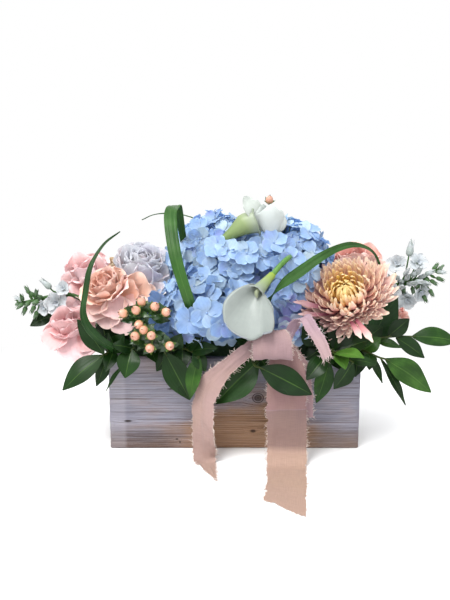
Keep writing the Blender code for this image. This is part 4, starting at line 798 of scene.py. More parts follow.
# ------------------------------------------------------------------ wooden box
def wood_look():
    """Whitewashed pine: u is mm along the grain, v mm across it, rnd the mm into the plank, tone the plank's own number
    (1 is the front one, whose knots and warm stains are laid out below)."""
    k = Look("whitewashed_pine")
    u, v, w, tone = (k.number(n) for n in ("u", "v", "rnd", "tone"))
    front = k.math("COMPARE", tone, 1.0, 0.1)
    # knots of the front plank: (along, height, long radius, short radius, darkness)
    KNOTS = [(28.5, 64.6, 6.1, 5.4, 1.0), (-130.0, 35.3, 5.5, 1.8, 1.0), (-76.0, 76.0, 6.5, 1.1, 1.0), (22.7, 22.4, 4.0, 2.4, 0.9), (-70.5, 12.1, 2.2, 1.2, 0.9), (-66.9, 8.2, 1.2, 1.6, 1.0)]
    bend, spots, rings = 0.0, 0.0, 0.0
    for x, z, a, b, dark in KNOTS:
        du, dv = k.math("SUBTRACT", u, x), k.math("SUBTRACT", v, z)
        e = k.math("SQRT", k.add(k.math("POWER", k.mul(du, 1 / a), 2.0), k.math("POWER", k.mul(dv, 1 / b), 2.0)))
        near = k.math("SQRT", k.add(k.math("POWER", k.mul(du, 1 / (a * 4)), 2.0), k.math("POWER", k.mul(dv, 1 / (b * 3.5)), 2.0)))
        bend = k.add(bend, k.mul(k.fit(near, 1.0, 0.15, 0.0, 1.0, True), k.mul(k.math("SIGN", dv), b * 0.9)))
        spots = k.math("MAXIMUM", spots, k.mul(k.fit(e, 1.15, 0.45, 0.0, 1.0, True), dark))
        if a < 6.2 and b > 4:
            rings = k.mul(k.fit(k.math("SINE", k.mul(e, 13.0)), 0.0, 1.0, 0.0, 1.0, True), k.fit(e, 1.5, 1.1, 0.0, 1.0, True))
            spots = k.math("MAXIMUM", k.mul(spots, k.fit(e, 0.5, 0.9, 0.72, 1.0)), k.mul(rings, 1.0))
    spots, bend = k.mul(spots, front), k.mul(bend, front)
    across = k.math("SUBTRACT", v, bend)
    seed = k.mul(tone, 37.0)
    where = k.join(k.mul(u, 0.011), k.add(k.mul(across, 0.16), seed), k.mul(w, 0.12))
    warp = k.noise(1.0, 2.0, 0.5, k.join(k.mul(u, 0.012), k.add(k.mul(across, 0.03), seed), k.mul(w, 0.03)))
    lines = k.noise(3.2, 5.0, 0.66, k.join(k.mul(u, 0.0020), k.add(k.add(k.mul(across, 1.12), k.mul(warp, 1.0)), seed), k.mul(w, 0.25)))
    fine = k.noise(1.0, 4.0, 0.65, k.join(k.mul(u, 0.05), k.add(k.mul(across, 2.3), seed), k.mul(w, 1.6)))
    dirt = k.noise(1.0, 4.0, 0.55, k.join(k.mul(u, 0.017), k.add(k.mul(v, 0.045), seed), k.mul(w, 0.03)))
    # the paint: lilac grey-white, thin in places
    paint = k.ramp(k.add(k.mul(lines, 0.62), k.mul(dirt, 0.38)), [(0.28, rgb(104, 100, 110)), (0.40, rgb(126, 123, 137)), (0.52, rgb(139, 138, 151)), (0.68, rgb(158, 157, 169))])
    bare = k.ramp(lines, [(0.32, rgb(84, 54, 36)), (0.45, rgb(136, 97, 66)), (0.58, rgb(168, 132, 100)), (0.72, rgb(188, 162, 138))])
    mid = k.fit(k.math("ABSOLUTE", k.math("SUBTRACT", u, 14.0)), 118.0, 18.0, 0.0, 1.0, True)
    low = k.fit(v, k.add(34.0, k.mul(mid, 56.0)), k.add(2.0, k.mul(mid, 12.0)), 0.0, 1.0, True)
    worn = k.fit(k.add(k.add(k.mul(low, k.add(0.42, k.mul(mid, 0.62))), k.mul(k.math("SUBTRACT", dirt, 0.5), 1.25)), k.mul(k.math("SUBTRACT", lines, 0.5), -1.9)), 0.0, 0.66, 0.0, 1.0)
    patch = k.math("SQRT", k.add(k.math("POWER", k.mul(k.math("SUBTRACT", u, -96.0), 1 / 26.0), 2.0), k.math("POWER", k.mul(k.math("SUBTRACT", v, 108.0), 1 / 16.0), 2.0)))
    worn = k.math("MAXIMUM", worn, k.mul(k.mul(k.fit(patch, 1.3, 0.3, 0.0, 0.6, True), front), k.fit(lines, 0.3, 0.6, 1.0, 0.3)))
    c = k.mix(k.mul(worn, 0.92), paint, bare)
    groove = k.fit(lines, 0.44, 0.36, 0.0, 1.0, True)
    c = k.mix(k.mul(groove, k.add(0.36, k.mul(worn, 0.25))), c, k.mix(worn, rgb(96, 86, 90), rgb(78, 50, 34)))
    foot = k.mul(k.mul(k.fit(v, 34.0, 12.0, 0.0, 1.0, True), k.fit(mid, 0.6, 0.0, 0.0, 1.0, True)), k.fit(lines, 0.66, 0.46, 0.25, 0.88, True))
    c = k.mix(foot, c, k.mix(k.fit(u, 0.0, -100.0, 0.0, 1.0, True), rgb(106, 90, 82), rgb(74, 56, 46)))
    hair = k.fit(fine, 0.42, 0.30, 0.0, 1.0, True)
    c = k.mix(k.mul(hair, 0.30), c, rgb(112, 98, 94))
    c = k.mix(k.mul(k.fit(fine, 0.55, 0.74, 0.0, 1.0, True), 0.28), c, rgb(196, 193, 200))
    left = k.mul(k.mul(k.fit(u, -130.0, -136.0, 0.0, 0.22, True), front), 1.0)
    c = k.mix(left, c, rgb(196, 192, 200))
    c = k.mix(k.mul(spots, 0.95), c, rgb(42, 30, 26))
    height = k.add(k.add(k.mul(groove, -1.0), k.mul(hair, -0.5)), k.add(k.mul(spots, -0.5), k.mul(fine, 0.5)))
    return k.surface(c, k.fit(fine, 0.3, 0.7, 0.68, 0.85), k.bump(height, 0.0006, 0.85), specular=0.3)


LOOKS["wood"] = wood_look()


def ticks(lo, hi, r, pitch):
    """Grid lines from lo to hi, close together where the edge is rounded."""
    n = max(2, int(round((hi - lo - 2 * r) / pitch)) + 1)
    return np.concatenate([[lo, lo + r * 0.3, lo + r * 0.65], np.linspace(lo + r, hi - r, n), [hi - r * 0.65, hi - r * 0.3, hi]])


def plank(node, lo, hi, grain, number, r=1.3, pitch=(3.2, 1.15, 3.0), coarse=()):
    """A sawn plank with worn, rounded edges and raised grain. grain is the axis it runs along."""
    lo, hi = pt(*lo), pt(*hi)
    g = [ticks(lo[i], hi[i], r, (pitch[0] if i == grain else pitch[1] if i == 2 else pitch[2])) for i in range(3)]
    pts, quads, n = [], [], 0
    for ax in range(3):
        i, j = [(1, 2), (2, 0), (0, 1)][ax]
        for end in (0, 1):
            A, B = np.meshgrid(g[i], g[j], indexing="ij")
            P = np.empty(A.shape + (3,))
            P[..., i], P[..., j], P[..., ax] = A, B, (lo, hi)[end][ax]
            q = np.arange(A.size).reshape(A.shape) + n
            f = np.stack([q[:-1, :-1], q[1:, :-1], q[1:, 1:], q[:-1, 1:]], -1).reshape(-1, 4)
            quads.append(f if end else f[:, ::-1])
            pts.append(P.reshape(-1, 3))
            n += A.size
    pts, quads = np.vstack(pts), np.vstack(quads)
    _, first, back = np.unique(np.round(pts, 4), axis=0, return_index=True, return_inverse=True)
    pts, quads = pts[first], back.reshape(-1)[quads]
    core = np.clip(pts, lo + r, hi - r)
    d = pts - core
    outside = (np.abs(d) > 1e-6).sum(1)
    out = unit(d)
    wear = np.where(outside > 1, 0.25 + 1.2 * np.maximum(0, noise3(pts, 9.0, number) - 0.45) ** 1.3 * 2.4, 0.0)
    fine = np.array((2.0, 2.0, 2.0))
    fine[grain] = 60.0
    ridge = (noise3(pts, fine, number) - 0.5) * 0.36 + (noise3(pts, fine * 2.6, number + 5) - 0.5) * 0.4
    saw = (noise3(pts, 22.0, number + 2) - 0.5) * 0.3
    p = core + out * (r - wear[:, None]) + out * (ridge + saw - 0.15)[:, None]
    p[:, 2] = np.maximum(p[:, 2], 0.02)
    piece = Piece(node + "_plank")
    other = 1 - grain if grain in (0, 1) else 0
    piece.add(p, quads, u=p[:, grain] + number * 400.0 * (number != 1), v=p[:, 2] if lo[2] + 20 < hi[2] else p[:, other] + 60, rnd=p[:, other], tone=float(number))
    return piece.finish(LOOKS["wood"], [node], sharp=60)


plank("front_board", (-152.5, -63.5, 0), (152.5, -51.5, 114.5), 0, 1, pitch=(4.6, 1.2, 4.0))
plank("back_board", (-152.5, 51.5, 0), (152.5, 63.5, 114.5), 0, 2, pitch=(7.0, 1.9, 4.0))
plank("left_end_board", (-152.5, -51.1, 0), (-140.5, 51.1, 114.5), 1, 3, pitch=(5.0, 1.8, 4.0))
plank("right_end_board", (140.5, -51.1, 0), (152.5, 51.1, 114.5), 1, 4, pitch=(5.0, 1.8, 4.0))
plank("bottom_board", (-140.1, -51.1, 0), (140.1, 51.1, 12), 0, 5, r=0.8, pitch=(14.0, 6.0, 10.0))

# ------------------------------------------------------------------ finishes of the CAD nodes that stay
for node, look in (("floral_foam", "foam"), ("liner", "liner")):
    o = bpy.data.objects[node]
    for s in o.material_slots:
        s.material = LOOKS[look]
for node in ("hydrangea_left", "hydrangea_center", "hydrangea_right", "hydrangea_rear", "chrysanthemum", "peony", "rose_peach", "rose_pink_upper", "rose_pink_lower"):
    for s in bpy.data.objects[node + "_stem"].material_slots:
        s.material = LOOKS["stem"]


# ------------------------------------------------------------------ flower heads
HYD_L, HYD_C, HYD_R, HYD_B = (-22, -42, 171), (-16, 2, 226), (73, 2, 210), (-42, 56, 190)
CHRYS, PEONY, PEACH = (137, -57, 185), (-116, 2, 217), (-142, -57, 192)
BALL = (-116, 0, 221)  # the middle of the peony as it is seen
PINK_U, PINK_L, CORAL = (-190, 12, 206), (-200, -52, 142), (162, 34, 220)
BUD, CREAM, REAR = (212, 20, 153), (-158, 46, 206), (52, 66, 184)


def between(a, b, share=0.5, gap=0.5):
    a, b = pt(*a), pt(*b)
    d = unit(b - a)
    return a + (b - a) * share - d * gap, d


def sphere_points(n):
    i = np.arange(n) + 0.5
    z = 1 - 2 * i / n
    r = np.sqrt(1 - z * z)
    return np.stack([r * np.cos(GOLDEN * i), r * np.sin(GOLDEN * i), z], -1)


# where grass, callas, bow and fruit pass in front: florets keep this far back (point, reach, push)
KEEP_CLEAR = []


def floret_layer(piece, centre, radii, axis, base, cuts, count, size, drop, seed, tone, detail, keep=9.0, turn=0.0, beads=True):
    r = rng_for(seed)
    C, R, ax = pt(*centre), pt(*radii) - drop, unit(axis)
    d = sphere_points(count)
    a0 = turn
    d = np.stack([d[:, 0] * math.cos(a0) - d[:, 1] * math.sin(a0), d[:, 0] * math.sin(a0) + d[:, 1] * math.cos(a0), d[:, 2]], -1)
    d = unit(d + r.normal(size=d.shape) * 0.05)
    p, n = C + d * R, unit(d / R)
    ok = ((p - C) @ ax) > base - 2
    for co, no in cuts:
        ok &= ((p - co) @ no) < keep
    p, n, d = p[ok], n[ok], d[ok]
    K = len(p)
    p = p - n * (size * 0.06 + r.uniform(-3.0, 5.0, K)[:, None])
    for co, reach, push in KEEP_CLEAR:
        away = p - pt(*co)
        near = np.linalg.norm(away, axis=1)
        p = p - n * (np.clip(1 - near / reach, 0, 1) * push)[:, None]
    n = unit(n + r.normal(size=n.shape) * 0.30)
    X0, Y0, _ = frame_of(n, (0.2, 0.1, 1))
    spin = r.uniform(0, TAU, K)
    four = 4
    ang = spin[:, None] + np.arange(four)[None] * TAU / four + r.normal(size=(K, four)) * 0.09
    Y = X0[:, None] * np.cos(ang)[..., None] + Y0[:, None] * np.sin(ang)[..., None]
    Z = np.broadcast_to(n[:, None], Y.shape)
    X = np.cross(Y, Z)
    scale = size * r.uniform(0.86, 1.08, K)
    L = (scale[:, None] * r.uniform(0.92, 1.06, (K, four)))
    W = L * r.uniform(0.94, 1.12, (K, four))
    lift = (r.uniform(-0.10, 0.34, K)[:, None] + r.normal(size=(K, four)) * 0.08)
    bend = -lift * 0.9 + r.uniform(-0.55, 0.45, K)[:, None] + r.normal(size=(K, four)) * 0.16
    M = K * four
    a, b = detail
    rnd = np.repeat(r.random(K), four) * 0.8 + r.random(M) * 0.2
    petals(piece, (p[:, None] + Y * 0.8).reshape(M, 3), X.reshape(M, 3), Y.reshape(M, 3), L.ravel(), W.ravel(), a, b, ROUND,
           th0=lift.ravel(), bend=bend.ravel(), cup=r.uniform(0.2, 0.8, M), opened=0.3, ruffle=r.uniform(0.02, 0.06, M), waves=r.uniform(1.0, 2.2, M),
           tip=r.uniform(0.10, 0.20, M), bank=r.choice([-1, 1]) * r.uniform(0.08, 0.22, M), thick=0.45, seed=seed + 1, rnd=rnd, tone=tone, notch=r.uniform(-0.03, 0.02, M))
    if beads:
        balls(piece, p + n * 1.2, (1.5, 1.5, 1.4), n, 4, 6, rnd=r.random(K), tone=0.22, u=0.0)
    return p, n


def floret(piece, at, look, size, seed, tone=0.0, flat=0.0):
    """One floret by itself, to close a gap between two heads."""
    r = rng_for(seed)
    n = unit(pt(*look))
    X0, Y0, _ = frame_of(n, (0.2, 0.1, 1))
    ang = r.uniform(0, TAU) + np.arange(4) * TAU / 4 + r.normal(size=4) * 0.09
    Y = X0 * np.cos(ang)[:, None] + Y0 * np.sin(ang)[:, None]
    petals(piece, pt(*at) + Y * 0.8, np.cross(Y, n), Y, size * r.uniform(0.92, 1.06, 4), size * r.uniform(1.0, 1.15, 4), 9, 7, ROUND, th0=r.uniform(0.0, 0.4) * (1 - flat), bend=r.uniform(-0.5, 0.2, 4),
           cup=r.uniform(0.25, 0.8, 4), opened=0.3, ruffle=0.035, waves=1.6, tip=0.16, bank=0.15, thick=0.45, seed=seed + 1, rnd=r.random() * 0.8 + r.random(4) * 0.2, tone=tone)
    balls(piece, pt(*at) + n * 1.2, (1.5, 1.5, 1.4), n, 4, 6, rnd=0.5, tone=0.22, u=0.0)


def hydrangea(node, centre, radii, axis, base, cuts, seed, count=66, size=17.0, more=()):
    piece = Piece(node + "_petals")
    # the three layers of florets take more tone the deeper they lie: painted shade inside the head
    p, n = floret_layer(piece, centre, radii, axis, base, cuts, count, size, 4.0, seed, 0.0, (8, 7))
    floret_layer(piece, centre, radii, axis, base - 2, cuts, int(count * 0.75), size * 0.98, 12.0, seed + 50, 0.12, (6, 6), keep=4, turn=0.7, beads=False)
    floret_layer(piece, centre, radii, axis, base - 2, cuts, int(count * 0.42), size * 0.95, 23.0, seed + 90, 0.5, (5, 5), keep=-3, turn=1.9, beads=False)
    # the third number of each extra floret is its tone: painted shade on florets that sit deep between the heads
    for k, (at, look, tone, *big) in enumerate(more):
        floret(piece, at, look, size * (big[0] if big else 1.0), seed + 200 + 7 * k, tone)
    # branching stalks from the head's foot to each floret
    r = rng_for(seed + 7)
    C, ax = pt(*centre), unit(axis)
    foot = C + ax * (base - 2)
    K = len(p)
    hub = foot + ax * 6 + unit(p - foot) * 9
    end = p - n * 1.5
    mid = (hub + end) / 2 + n * 2 + r.normal(size=p.shape) * 1.5
    t = np.linspace(0, 1, 6)[None, :, None]
    start = np.broadcast_to(foot, p.shape)
    P = (1 - t) ** 3 * start[:, None] + 3 * (1 - t) ** 2 * t * hub[:, None] + 3 * (1 - t) * t * t * mid[:, None] + t**3 * end[:, None]
    tube_many(piece, P, np.linspace(1.5, 0.7, 6)[None], 5, green=1.0, rnd=r.random(K))
    return piece.finish(LOOKS["blue"], [node + "_bloom"])


KEEP_CLEAR += [((27, -106, 205), 24, 8), ((12, -118, 180), 28, 11), ((-50, -104, 190), 14, 6)]
hydrangea("hydrangea_left", HYD_L, (72, 50, 55), (0, -0.72, 0.70), -4, [between(HYD_L, HYD_C, 0.46), between(HYD_L, HYD_R, 0.56)], 3, 88,
          more=[((50, -68, 194), (0.3, -0.9, 0.3), 0.1), ((62, -66, 182), (0.3, -0.9, 0.2), 0.45), ((54, -70, 172), (0.2, -0.95, 0.1), 0.5), ((68, -64, 164), (0.3, -0.9, 0.0), 0.7),
                ((44, -72, 160), (0.1, -0.95, 0.0), 0.6), ((70, -56, 192), (0.3, -0.9, 0.4), 0.1), ((76, -62, 176), (0.3, -0.9, 0.1), 0.6),
                ((-92, -54, 180), (-0.5, -0.85, 0.2), 0.55), ((-98, -50, 164), (-0.5, -0.85, 0.1), 0.7), ((-98, -48, 148), (-0.4, -0.9, -0.1), 0.8),
                ((-88, -66, 158), (-0.4, -0.9, 0.0), 0.75), ((-84, -66, 140), (-0.3, -0.9, -0.2), 0.8),
                ((-32, -110, 179), (0.0, -0.95, 0.2), 0.1, 1.18), ((-52, -106, 170), (-0.2, -0.95, 0.1), 0.3, 1.05), ((-14, -112, 166), (0.1, -0.95, 0.0), 0.3),
                ((66, -78, 156), (0.2, -0.9, 0.2), 0.0), ((58, -80, 148), (0.1, -0.95, 0.1), 0.0), ((72, -76, 148), (0.2, -0.9, 0.1), 0.0)])
hydrangea("hydrangea_center", HYD_C, (68, 52, 60), (0, -0.25, 0.97), -22,
          [between(HYD_C, HYD_L, 0.54), between(HYD_C, HYD_R, 0.52), between(HYD_C, HYD_B, 0.52), between(HYD_C, PEONY, 0.66)], 5, 88,
          more=[((-22, -52, 246), (-0.2, -0.8, 0.6), 0.0), ((-30, -48, 236), (-0.3, -0.85, 0.4), 0.0), ((-8, -56, 244), (0.1, -0.9, 0.5), 0.0), ((30, -50, 246), (0.1, -0.9, 0.4), 0.0), ((-6, -58, 226), (0.1, -0.95, 0.2), 0.0), ((14, -58, 240), (0.0, -0.9, 0.4), 0.0),
                ((32, -54, 234), (0.1, -0.95, 0.2), 0.0), ((8, -60, 230), (0.0, -0.95, 0.2), 0.0), ((46, -52, 252), (0.1, -0.85, 0.5), 0.0)])
hydrangea("hydrangea_right", HYD_R, (56, 54, 66), (0.1, -0.35, 0.93), -32,
          [between(HYD_R, HYD_C, 0.48), between(HYD_R, HYD_L, 0.44), between(HYD_R, CHRYS, 0.32), between(HYD_R, CORAL, 0.58), between(HYD_R, REAR, 0.53)], 9, 84,
          more=[((66, -66, 234), (0.3, -0.85, 0.4), 0.0), ((56, -64, 226), (0.1, -0.95, 0.2), 0.1), ((74, -58, 222), (0.2, -0.9, 0.2), 0.1), ((90, -50, 216), (0.4, -0.85, 0.2), 0.2),
                ((84, -52, 204), (0.3, -0.9, 0.1), 0.3), ((72, -58, 208), (0.2, -0.95, 0.1), 0.2)])
hydrangea("hydrangea_rear", HYD_B, (62, 44, 52), (0, 0.75, 0.66), -6, [between(HYD_B, HYD_C, 0.48), between(HYD_B, REAR, 0.56)], 13, 74)


def chrysanthemum(node, centre, axis, seed):
    """Incurved rows: a dense yellow heart, peach rows round it, and dusky rose outer petals with cream tips."""
    piece = Piece(node + "_petals")
    r = rng_for(seed)
    X0, Y0, A = frame_of(pt(*axis))
    C = pt(*centre)
    N = 350
    i = np.arange(N)
    q = ((i + 0.5) / N) ** 0.56
    az = GOLDEN * i + r.normal(size=N) * 0.07
    rad = X0 * np.cos(az)[:, None] + Y0 * np.sin(az)[:, None]
    fold = np.radians(np.interp(q, [0, 0.2, 0.45, 0.7, 0.88, 1], [5, 28, 58, 82, 98, 108]) + r.normal(size=N) * 4.5)
    Y = rad * np.sin(fold)[:, None] + A * np.cos(fold)[:, None]
    Z = -rad * np.cos(fold)[:, None] + A * np.sin(fold)[:, None]
    X = np.cross(Y, Z)
    C = C + pt(-2.5, 0, 1.0)
    O = C + A * (np.interp(q, [0, 0.5, 1], [8, 3, -9])[:, None]) + rad * (np.interp(q, [0, 0.5, 1], [1.0, 12, 14])[:, None])
    wide = 1 + (0.16 * (rad @ unit(pt(1, 0, 0))) ** 2 - 0.13 * np.maximum(0, rad @ unit(pt(0, 0.5, 0.85))) ** 2) * step(q, 0.4, 0.8)
    short = (1 - 0.36 * step(rad @ unit(pt(0.78, -0.3, -0.55)), 0.30, 0.85) * step(q, 0.5, 0.8)) * (1 - 0.27 * step(rad @ unit(pt(-0.1, -0.5, -0.85)), 0.3, 0.9) * step(q, 0.5, 0.8))
    L = np.interp(q, [0, 0.25, 0.5, 0.75, 1], [17, 26, 38, 49, 54]) * r.uniform(0.92, 1.06, N) * short * wide
    W = np.interp(q, [0, 0.2, 0.45, 0.7, 1], [3.2, 4.6, 7.2, 10.2, 11.4]) * r.uniform(0.88, 1.1, N)
    bend = np.interp(q, [0, 0.25, 0.5, 0.75, 1], [1.5, 1.8, 1.7, 1.35, 0.95]) + r.normal(size=N) * 0.16
    cup = np.interp(q, [0, 0.4, 0.8, 1], [1.5, 1.4, 1.25, 1.1]) * r.uniform(0.85, 1.15, N)
    mauve = np.clip(step(rad @ unit(pt(-0.9, -0.2, 0.1)), 0.1, 0.8) * 0.9 + r.random(N) * 0.3 - 0.1, 0, 1)
    petals(piece, O, X, Y, L, W, 9, 5, SPOON, th0=np.interp(q, [0, 1], [0.1, -0.15]), bend=bend, p=1.5, cup=cup, opened=0.35, ruffle=0.008, waves=1.0,
           tip=0.16, twist=r.normal(size=N) * 0.2, thick=0.7, seed=seed, rnd=mauve, tone=np.clip(1 - q, 0, 1))
    # green bracts under the head
    M = 26
    az = GOLDEN * np.arange(M)
    rad = X0 * np.cos(az)[:, None] + Y0 * np.sin(az)[:, None]
    f = np.radians(118)
    Y = rad * math.sin(f) + A * math.cos(f)
    Z = -rad * math.cos(f) + A * math.sin(f)
    petals(piece, C + A * -13 + rad * 6, np.cross(Y, Z), Y, 13, 6, 5, 4, DROP, bend=0.5, cup=0.6, thick=0.6, green=1.0, seed=seed + 1)
    # two loose petals: one lies on the blue florets, one hangs below
    lay(piece, [((112, -70, 176), (66, -84, 186), 9, (0.1, -0.7, 0.7), 0.3, 1.0, 0.3, dict(rnd=1.0)),
                ((110, -74, 170), (72, -86, 172), 8, (0.0, -0.7, 0.7), 0.4, 1.0, 0.3, dict(rnd=0.9)),
                ((140, -86, 166), (157, -102, 143), 9, (-0.2, -0.85, 0.4), -0.3, 1.0, 0.1, dict(rnd=0.1, tone=0.12)),
                ((134, -86, 164), (144, -100, 147), 9, (-0.1, -0.9, 0.3), -0.2, 1.0, 0.1, dict(rnd=0.3, tone=0.1))],
        9, 5, seed + 9, SPOON, tone=0.05, ruffle=0.01)
    return piece.finish(LOOKS["chrys"], [node])


chrysanthemum("chrysanthemum_bloom", CHRYS, (-0.31, -0.68, 0.66), 21)


def rose(piece, centre, axis, R, seed, count=30, open_=78.0, ruffle=0.03, cup=1.0, lip=0.5, squash=1.0, detail=(12, 12), waves=2.0, width=1.0, crimp=0.0,
         heart=6.0, depth=0.55, sepals=True, notch=0.03, seat=0.0, shape=FAN, tone_gain=1.0):
    """A rose head: petals on a golden spiral, tight in the heart and open outside."""
    r = rng_for(seed)
    X0, Y0, A = frame_of(pt(*axis))
    C = pt(*centre) - A * R * depth
    i = np.arange(count)
    q = i / (count - 1)
    az = GOLDEN * i * 1.0 + r.normal(size=count) * 0.12
    rad = X0 * np.cos(az)[:, None] + Y0 * np.sin(az)[:, None]
    fold = np.radians(np.interp(q, [0, 0.3, 0.6, 0.85, 1], [heart, 18, 42, open_ * 0.86, open_]) + r.normal(size=count) * 3.5)
    Y = rad * np.sin(fold)[:, None] + A * np.cos(fold)[:, None]
    Z = -rad * np.cos(fold)[:, None] + A * np.sin(fold)[:, None]
    X = np.cross(Y, Z)
    O = C + rad * np.interp(q, [0, 0.4, 1], [1.2, 3.5, 6.5])[:, None] + A * np.interp(q, [0, 1], [2, -1 - seat])[:, None]
    L = R * np.interp(q, [0, 0.3, 0.6, 1], [1.0, 1.18, 1.24, 1.2]) * r.uniform(0.94, 1.05, count)
    W = R * np.interp(q, [0, 0.25, 0.6, 1], [0.62, 0.95, 1.25, 1.38]) * width * r.uniform(0.92, 1.06, count)
    bend = np.interp(q, [0, 0.3, 0.6, 1], [0.35, 0.75, 0.95, 0.72]) + r.normal(size=count) * 0.1
    rolls = np.interp(q, [0, 0.25, 0.6, 1], [1.9, 1.5, 1.0, 0.72]) * cup
    # painted shade: tone draws the inner petals towards the look's deep colour, as far as tone_gain allows
    petals(piece, O, X, Y, L * squash, W, detail[0], detail[1], shape, th0=np.interp(q, [0, 1], [0.0, -0.15]), bend=bend, p=1.1, cup=rolls, opened=0.3,
           lip=np.interp(q, [0, 0.3, 1], [0.1, 0.6, 1.1]) * lip + r.uniform(0, 0.25, count), ruffle=ruffle * np.interp(q, [0, 1], [0.5, 1.1]), waves=waves,
           crimp=crimp, tip=r.uniform(0.16, 0.26, count), notch=r.uniform(-0.02, notch, count), twist=r.normal(size=count) * 0.08, thick=0.5, seed=seed + 1,
           rnd=r.random(count), tone=np.clip(0.95 - q * 1.6, 0, 1) * tone_gain)
    if sepals:
        az = np.arange(5) * TAU / 5 + r.uniform(0, 1)
        rad = X0 * np.cos(az)[:, None] + Y0 * np.sin(az)[:, None]
        f = np.radians(112)
        Y = rad * math.sin(f) + A * math.cos(f)
        petals(piece, C - A * 2 + rad * 3, np.cross(Y, -rad * math.cos(f) + A * math.sin(f)), Y, R * 0.72, R * 0.26, 8, 5, DROP, bend=-0.5, cup=0.5, thick=0.7,
               green=1.0, seed=seed + 2)
        balls(piece, C - A * 4, (5.5, 5.5, 6.5), A, 6, 9, green=1.0)
    return C


# peach garden rose: a ruffled heart on the left, broad smooth guard petals to the right and below
p = Piece("rose_peach_petals")
rose(p, (-154, -53, 200), (-0.30, -0.55, 0.78), 27, 31, 24, ruffle=0.05, lip=0.9, open_=62, waves=2.5, cup=0.95, width=1.15)
# a tone in a petal's own numbers is painted shade, towards the deep colour
lay(p, [((-130, -44, 172), (-112, -46, 216), 44, (0.2, -0.9, 0.4), 0.7, 0.8, 0.5, dict(ruffle=0.045)),
        ((-124, -40, 172), (-98, -44, 200), 40, (0.4, -0.8, 0.4), 0.7, 0.8, 0.4, dict(ruffle=0.03)),
        ((-134, -50, 178), (-124, -58, 210), 34, (0.1, -0.95, 0.3), 0.8, 0.9, 0.5, dict(ruffle=0.06, tone=0.25)),
        ((-128, -56, 190), (-112, -66, 170), 34, (0.3, -0.75, 0.6), 0.5, 0.7, 0.5, dict(rnd=0.12)),
        ((-142, -58, 190), (-136, -72, 163), 42, (0.05, -0.75, 0.6), 0.5, 0.6, 0.5, dict(rnd=0.135, ruffle=0.05)),
        ((-154, -56, 190), (-168, -68, 168), 36, (-0.3, -0.75, 0.6), 0.6, 0.7, 0.6, dict(rnd=0.12, ruffle=0.06)),
        ((-138, -58, 172), (-127, -74, 145), 32, (0.0, -0.95, 0.3), -0.3, 0.5, 0.0, dict(rnd=0.138, ruffle=0.02)),
        ((-146, -56, 178), (-153, -72, 152), 36, (-0.2, -0.95, 0.3), -0.2, 0.6, 0.0, dict(rnd=0.13, ruffle=0.03)),
        ((-160, -52, 184), (-170, -70, 160), 36, (-0.2, -0.9, 0.3), 0.2, 0.6, 0.3, dict(rnd=0.124, ruffle=0.03))], seed=310)
p.finish(LOOKS["peach"], ["rose_peach_bloom"])

p = Piece("rose_pink_upper_petals")
rose(p, (-188, 10, 210), (-0.25, -0.45, 0.86), 29, 41, 20, ruffle=0.07, lip=0.9, open_=56, waves=2.4, width=1.25, tone_gain=0.7)
lay(p, [((-186, 8, 188), (-198, 0, 236), 46, (-0.1, -0.9, 0.35), 0.7, 0.7, 0.6, dict(ruffle=0.05)),
        ((-184, 6, 188), (-172, -4, 232), 40, (0.2, -0.9, 0.3), 0.7, 0.7, 0.6, dict(ruffle=0.05)),
        ((-188, 0, 186), (-216, -8, 208), 42, (-0.4, -0.85, 0.3), 0.7, 0.8, 0.5, dict(ruffle=0.05)),
        ((-188, -4, 184), (-206, -22, 190), 38, (-0.3, -0.8, 0.5), 0.4, 0.7, 0.6, dict(ruffle=0.05)),
        ((-182, -6, 190), (-196, -22, 216), 36, (0.3, 0.8, 0.4), 0.5, 0.9, 0.9, dict(ruffle=0.05, rnd=0.7)),
        ((-180, -6, 184), (-176, -22, 204), 36, (-0.1, 0.9, 0.3), 0.5, 0.8, 0.8, dict(ruffle=0.04, rnd=0.4)),
        ((-184, -6, 186), (-186, -28, 172), 34, (0.0, -0.8, 0.6), 0.3, 0.6, 0.4, dict(ruffle=0.04, rnd=0.12)),
        ((-188, -8, 186), (-202, -26, 160), 40, (-0.2, -0.85, 0.5), 0.3, 0.6, 0.4, dict(ruffle=0.04, rnd=0.4)),
        ((-180, -10, 182), (-184, -28, 156), 40, (0.1, -0.9, 0.4), 0.3, 0.6, 0.4, dict(ruffle=0.04, rnd=0.7))], seed=410)
p.finish(LOOKS["pink"], ["rose_pink_upper_bloom"])

p = Piece("rose_pink_lower_petals")
rose(p, (-200, -46, 150), (-0.3, -0.55, 0.78), 25, 47, 14, ruffle=0.05, lip=0.7, open_=52, waves=1.8, width=1.2, cup=0.95)
lay(p, [((-198, -42, 138), (-210, -50, 176), 40, (-0.1, -0.9, 0.4), 0.7, 0.8, 0.6, dict(ruffle=0.05)),
        ((-192, -40, 138), (-182, -50, 174), 40, (0.2, -0.9, 0.4), 0.7, 0.8, 0.6, dict(ruffle=0.05)),
        ((-202, -44, 136), (-233, -54, 142), 42, (-0.4, -0.85, 0.3), 0.6, 0.8, 0.6, dict(ruffle=0.04)),
        ((-188, -44, 138), (-165, -54, 148), 38, (0.3, -0.9, 0.2), 0.5, 0.6, 0.6, dict(ruffle=0.03, rnd=0.12)),
        ((-204, -50, 150), (-222, -66, 124), 40, (-0.3, -0.85, 0.4), 0.45, 0.7, 0.7, dict(ruffle=0.04)),
        ((-192, -52, 146), (-184, -70, 111), 52, (0.1, -0.85, 0.45), 0.4, 0.5, 0.5, dict(ruffle=0.03, rnd=0.7)),
        ((-188, -50, 146), (-164, -62, 124), 38, (0.3, -0.85, 0.4), 0.4, 0.6, 0.4, dict(ruffle=0.03, rnd=0.12)),
        ((-200, -54, 138), (-206, -70, 160), 40, (0.1, 0.9, 0.3), 0.5, 0.8, 0.9, dict(ruffle=0.05, rnd=0.6)),
        ((-192, -54, 138), (-184, -70, 158), 34, (-0.1, 0.9, 0.3), 0.5, 0.8, 0.9, dict(ruffle=0.05, rnd=0.3))], seed=470)
p.finish(LOOKS["pink_low"], ["rose_pink_lower_bloom"])


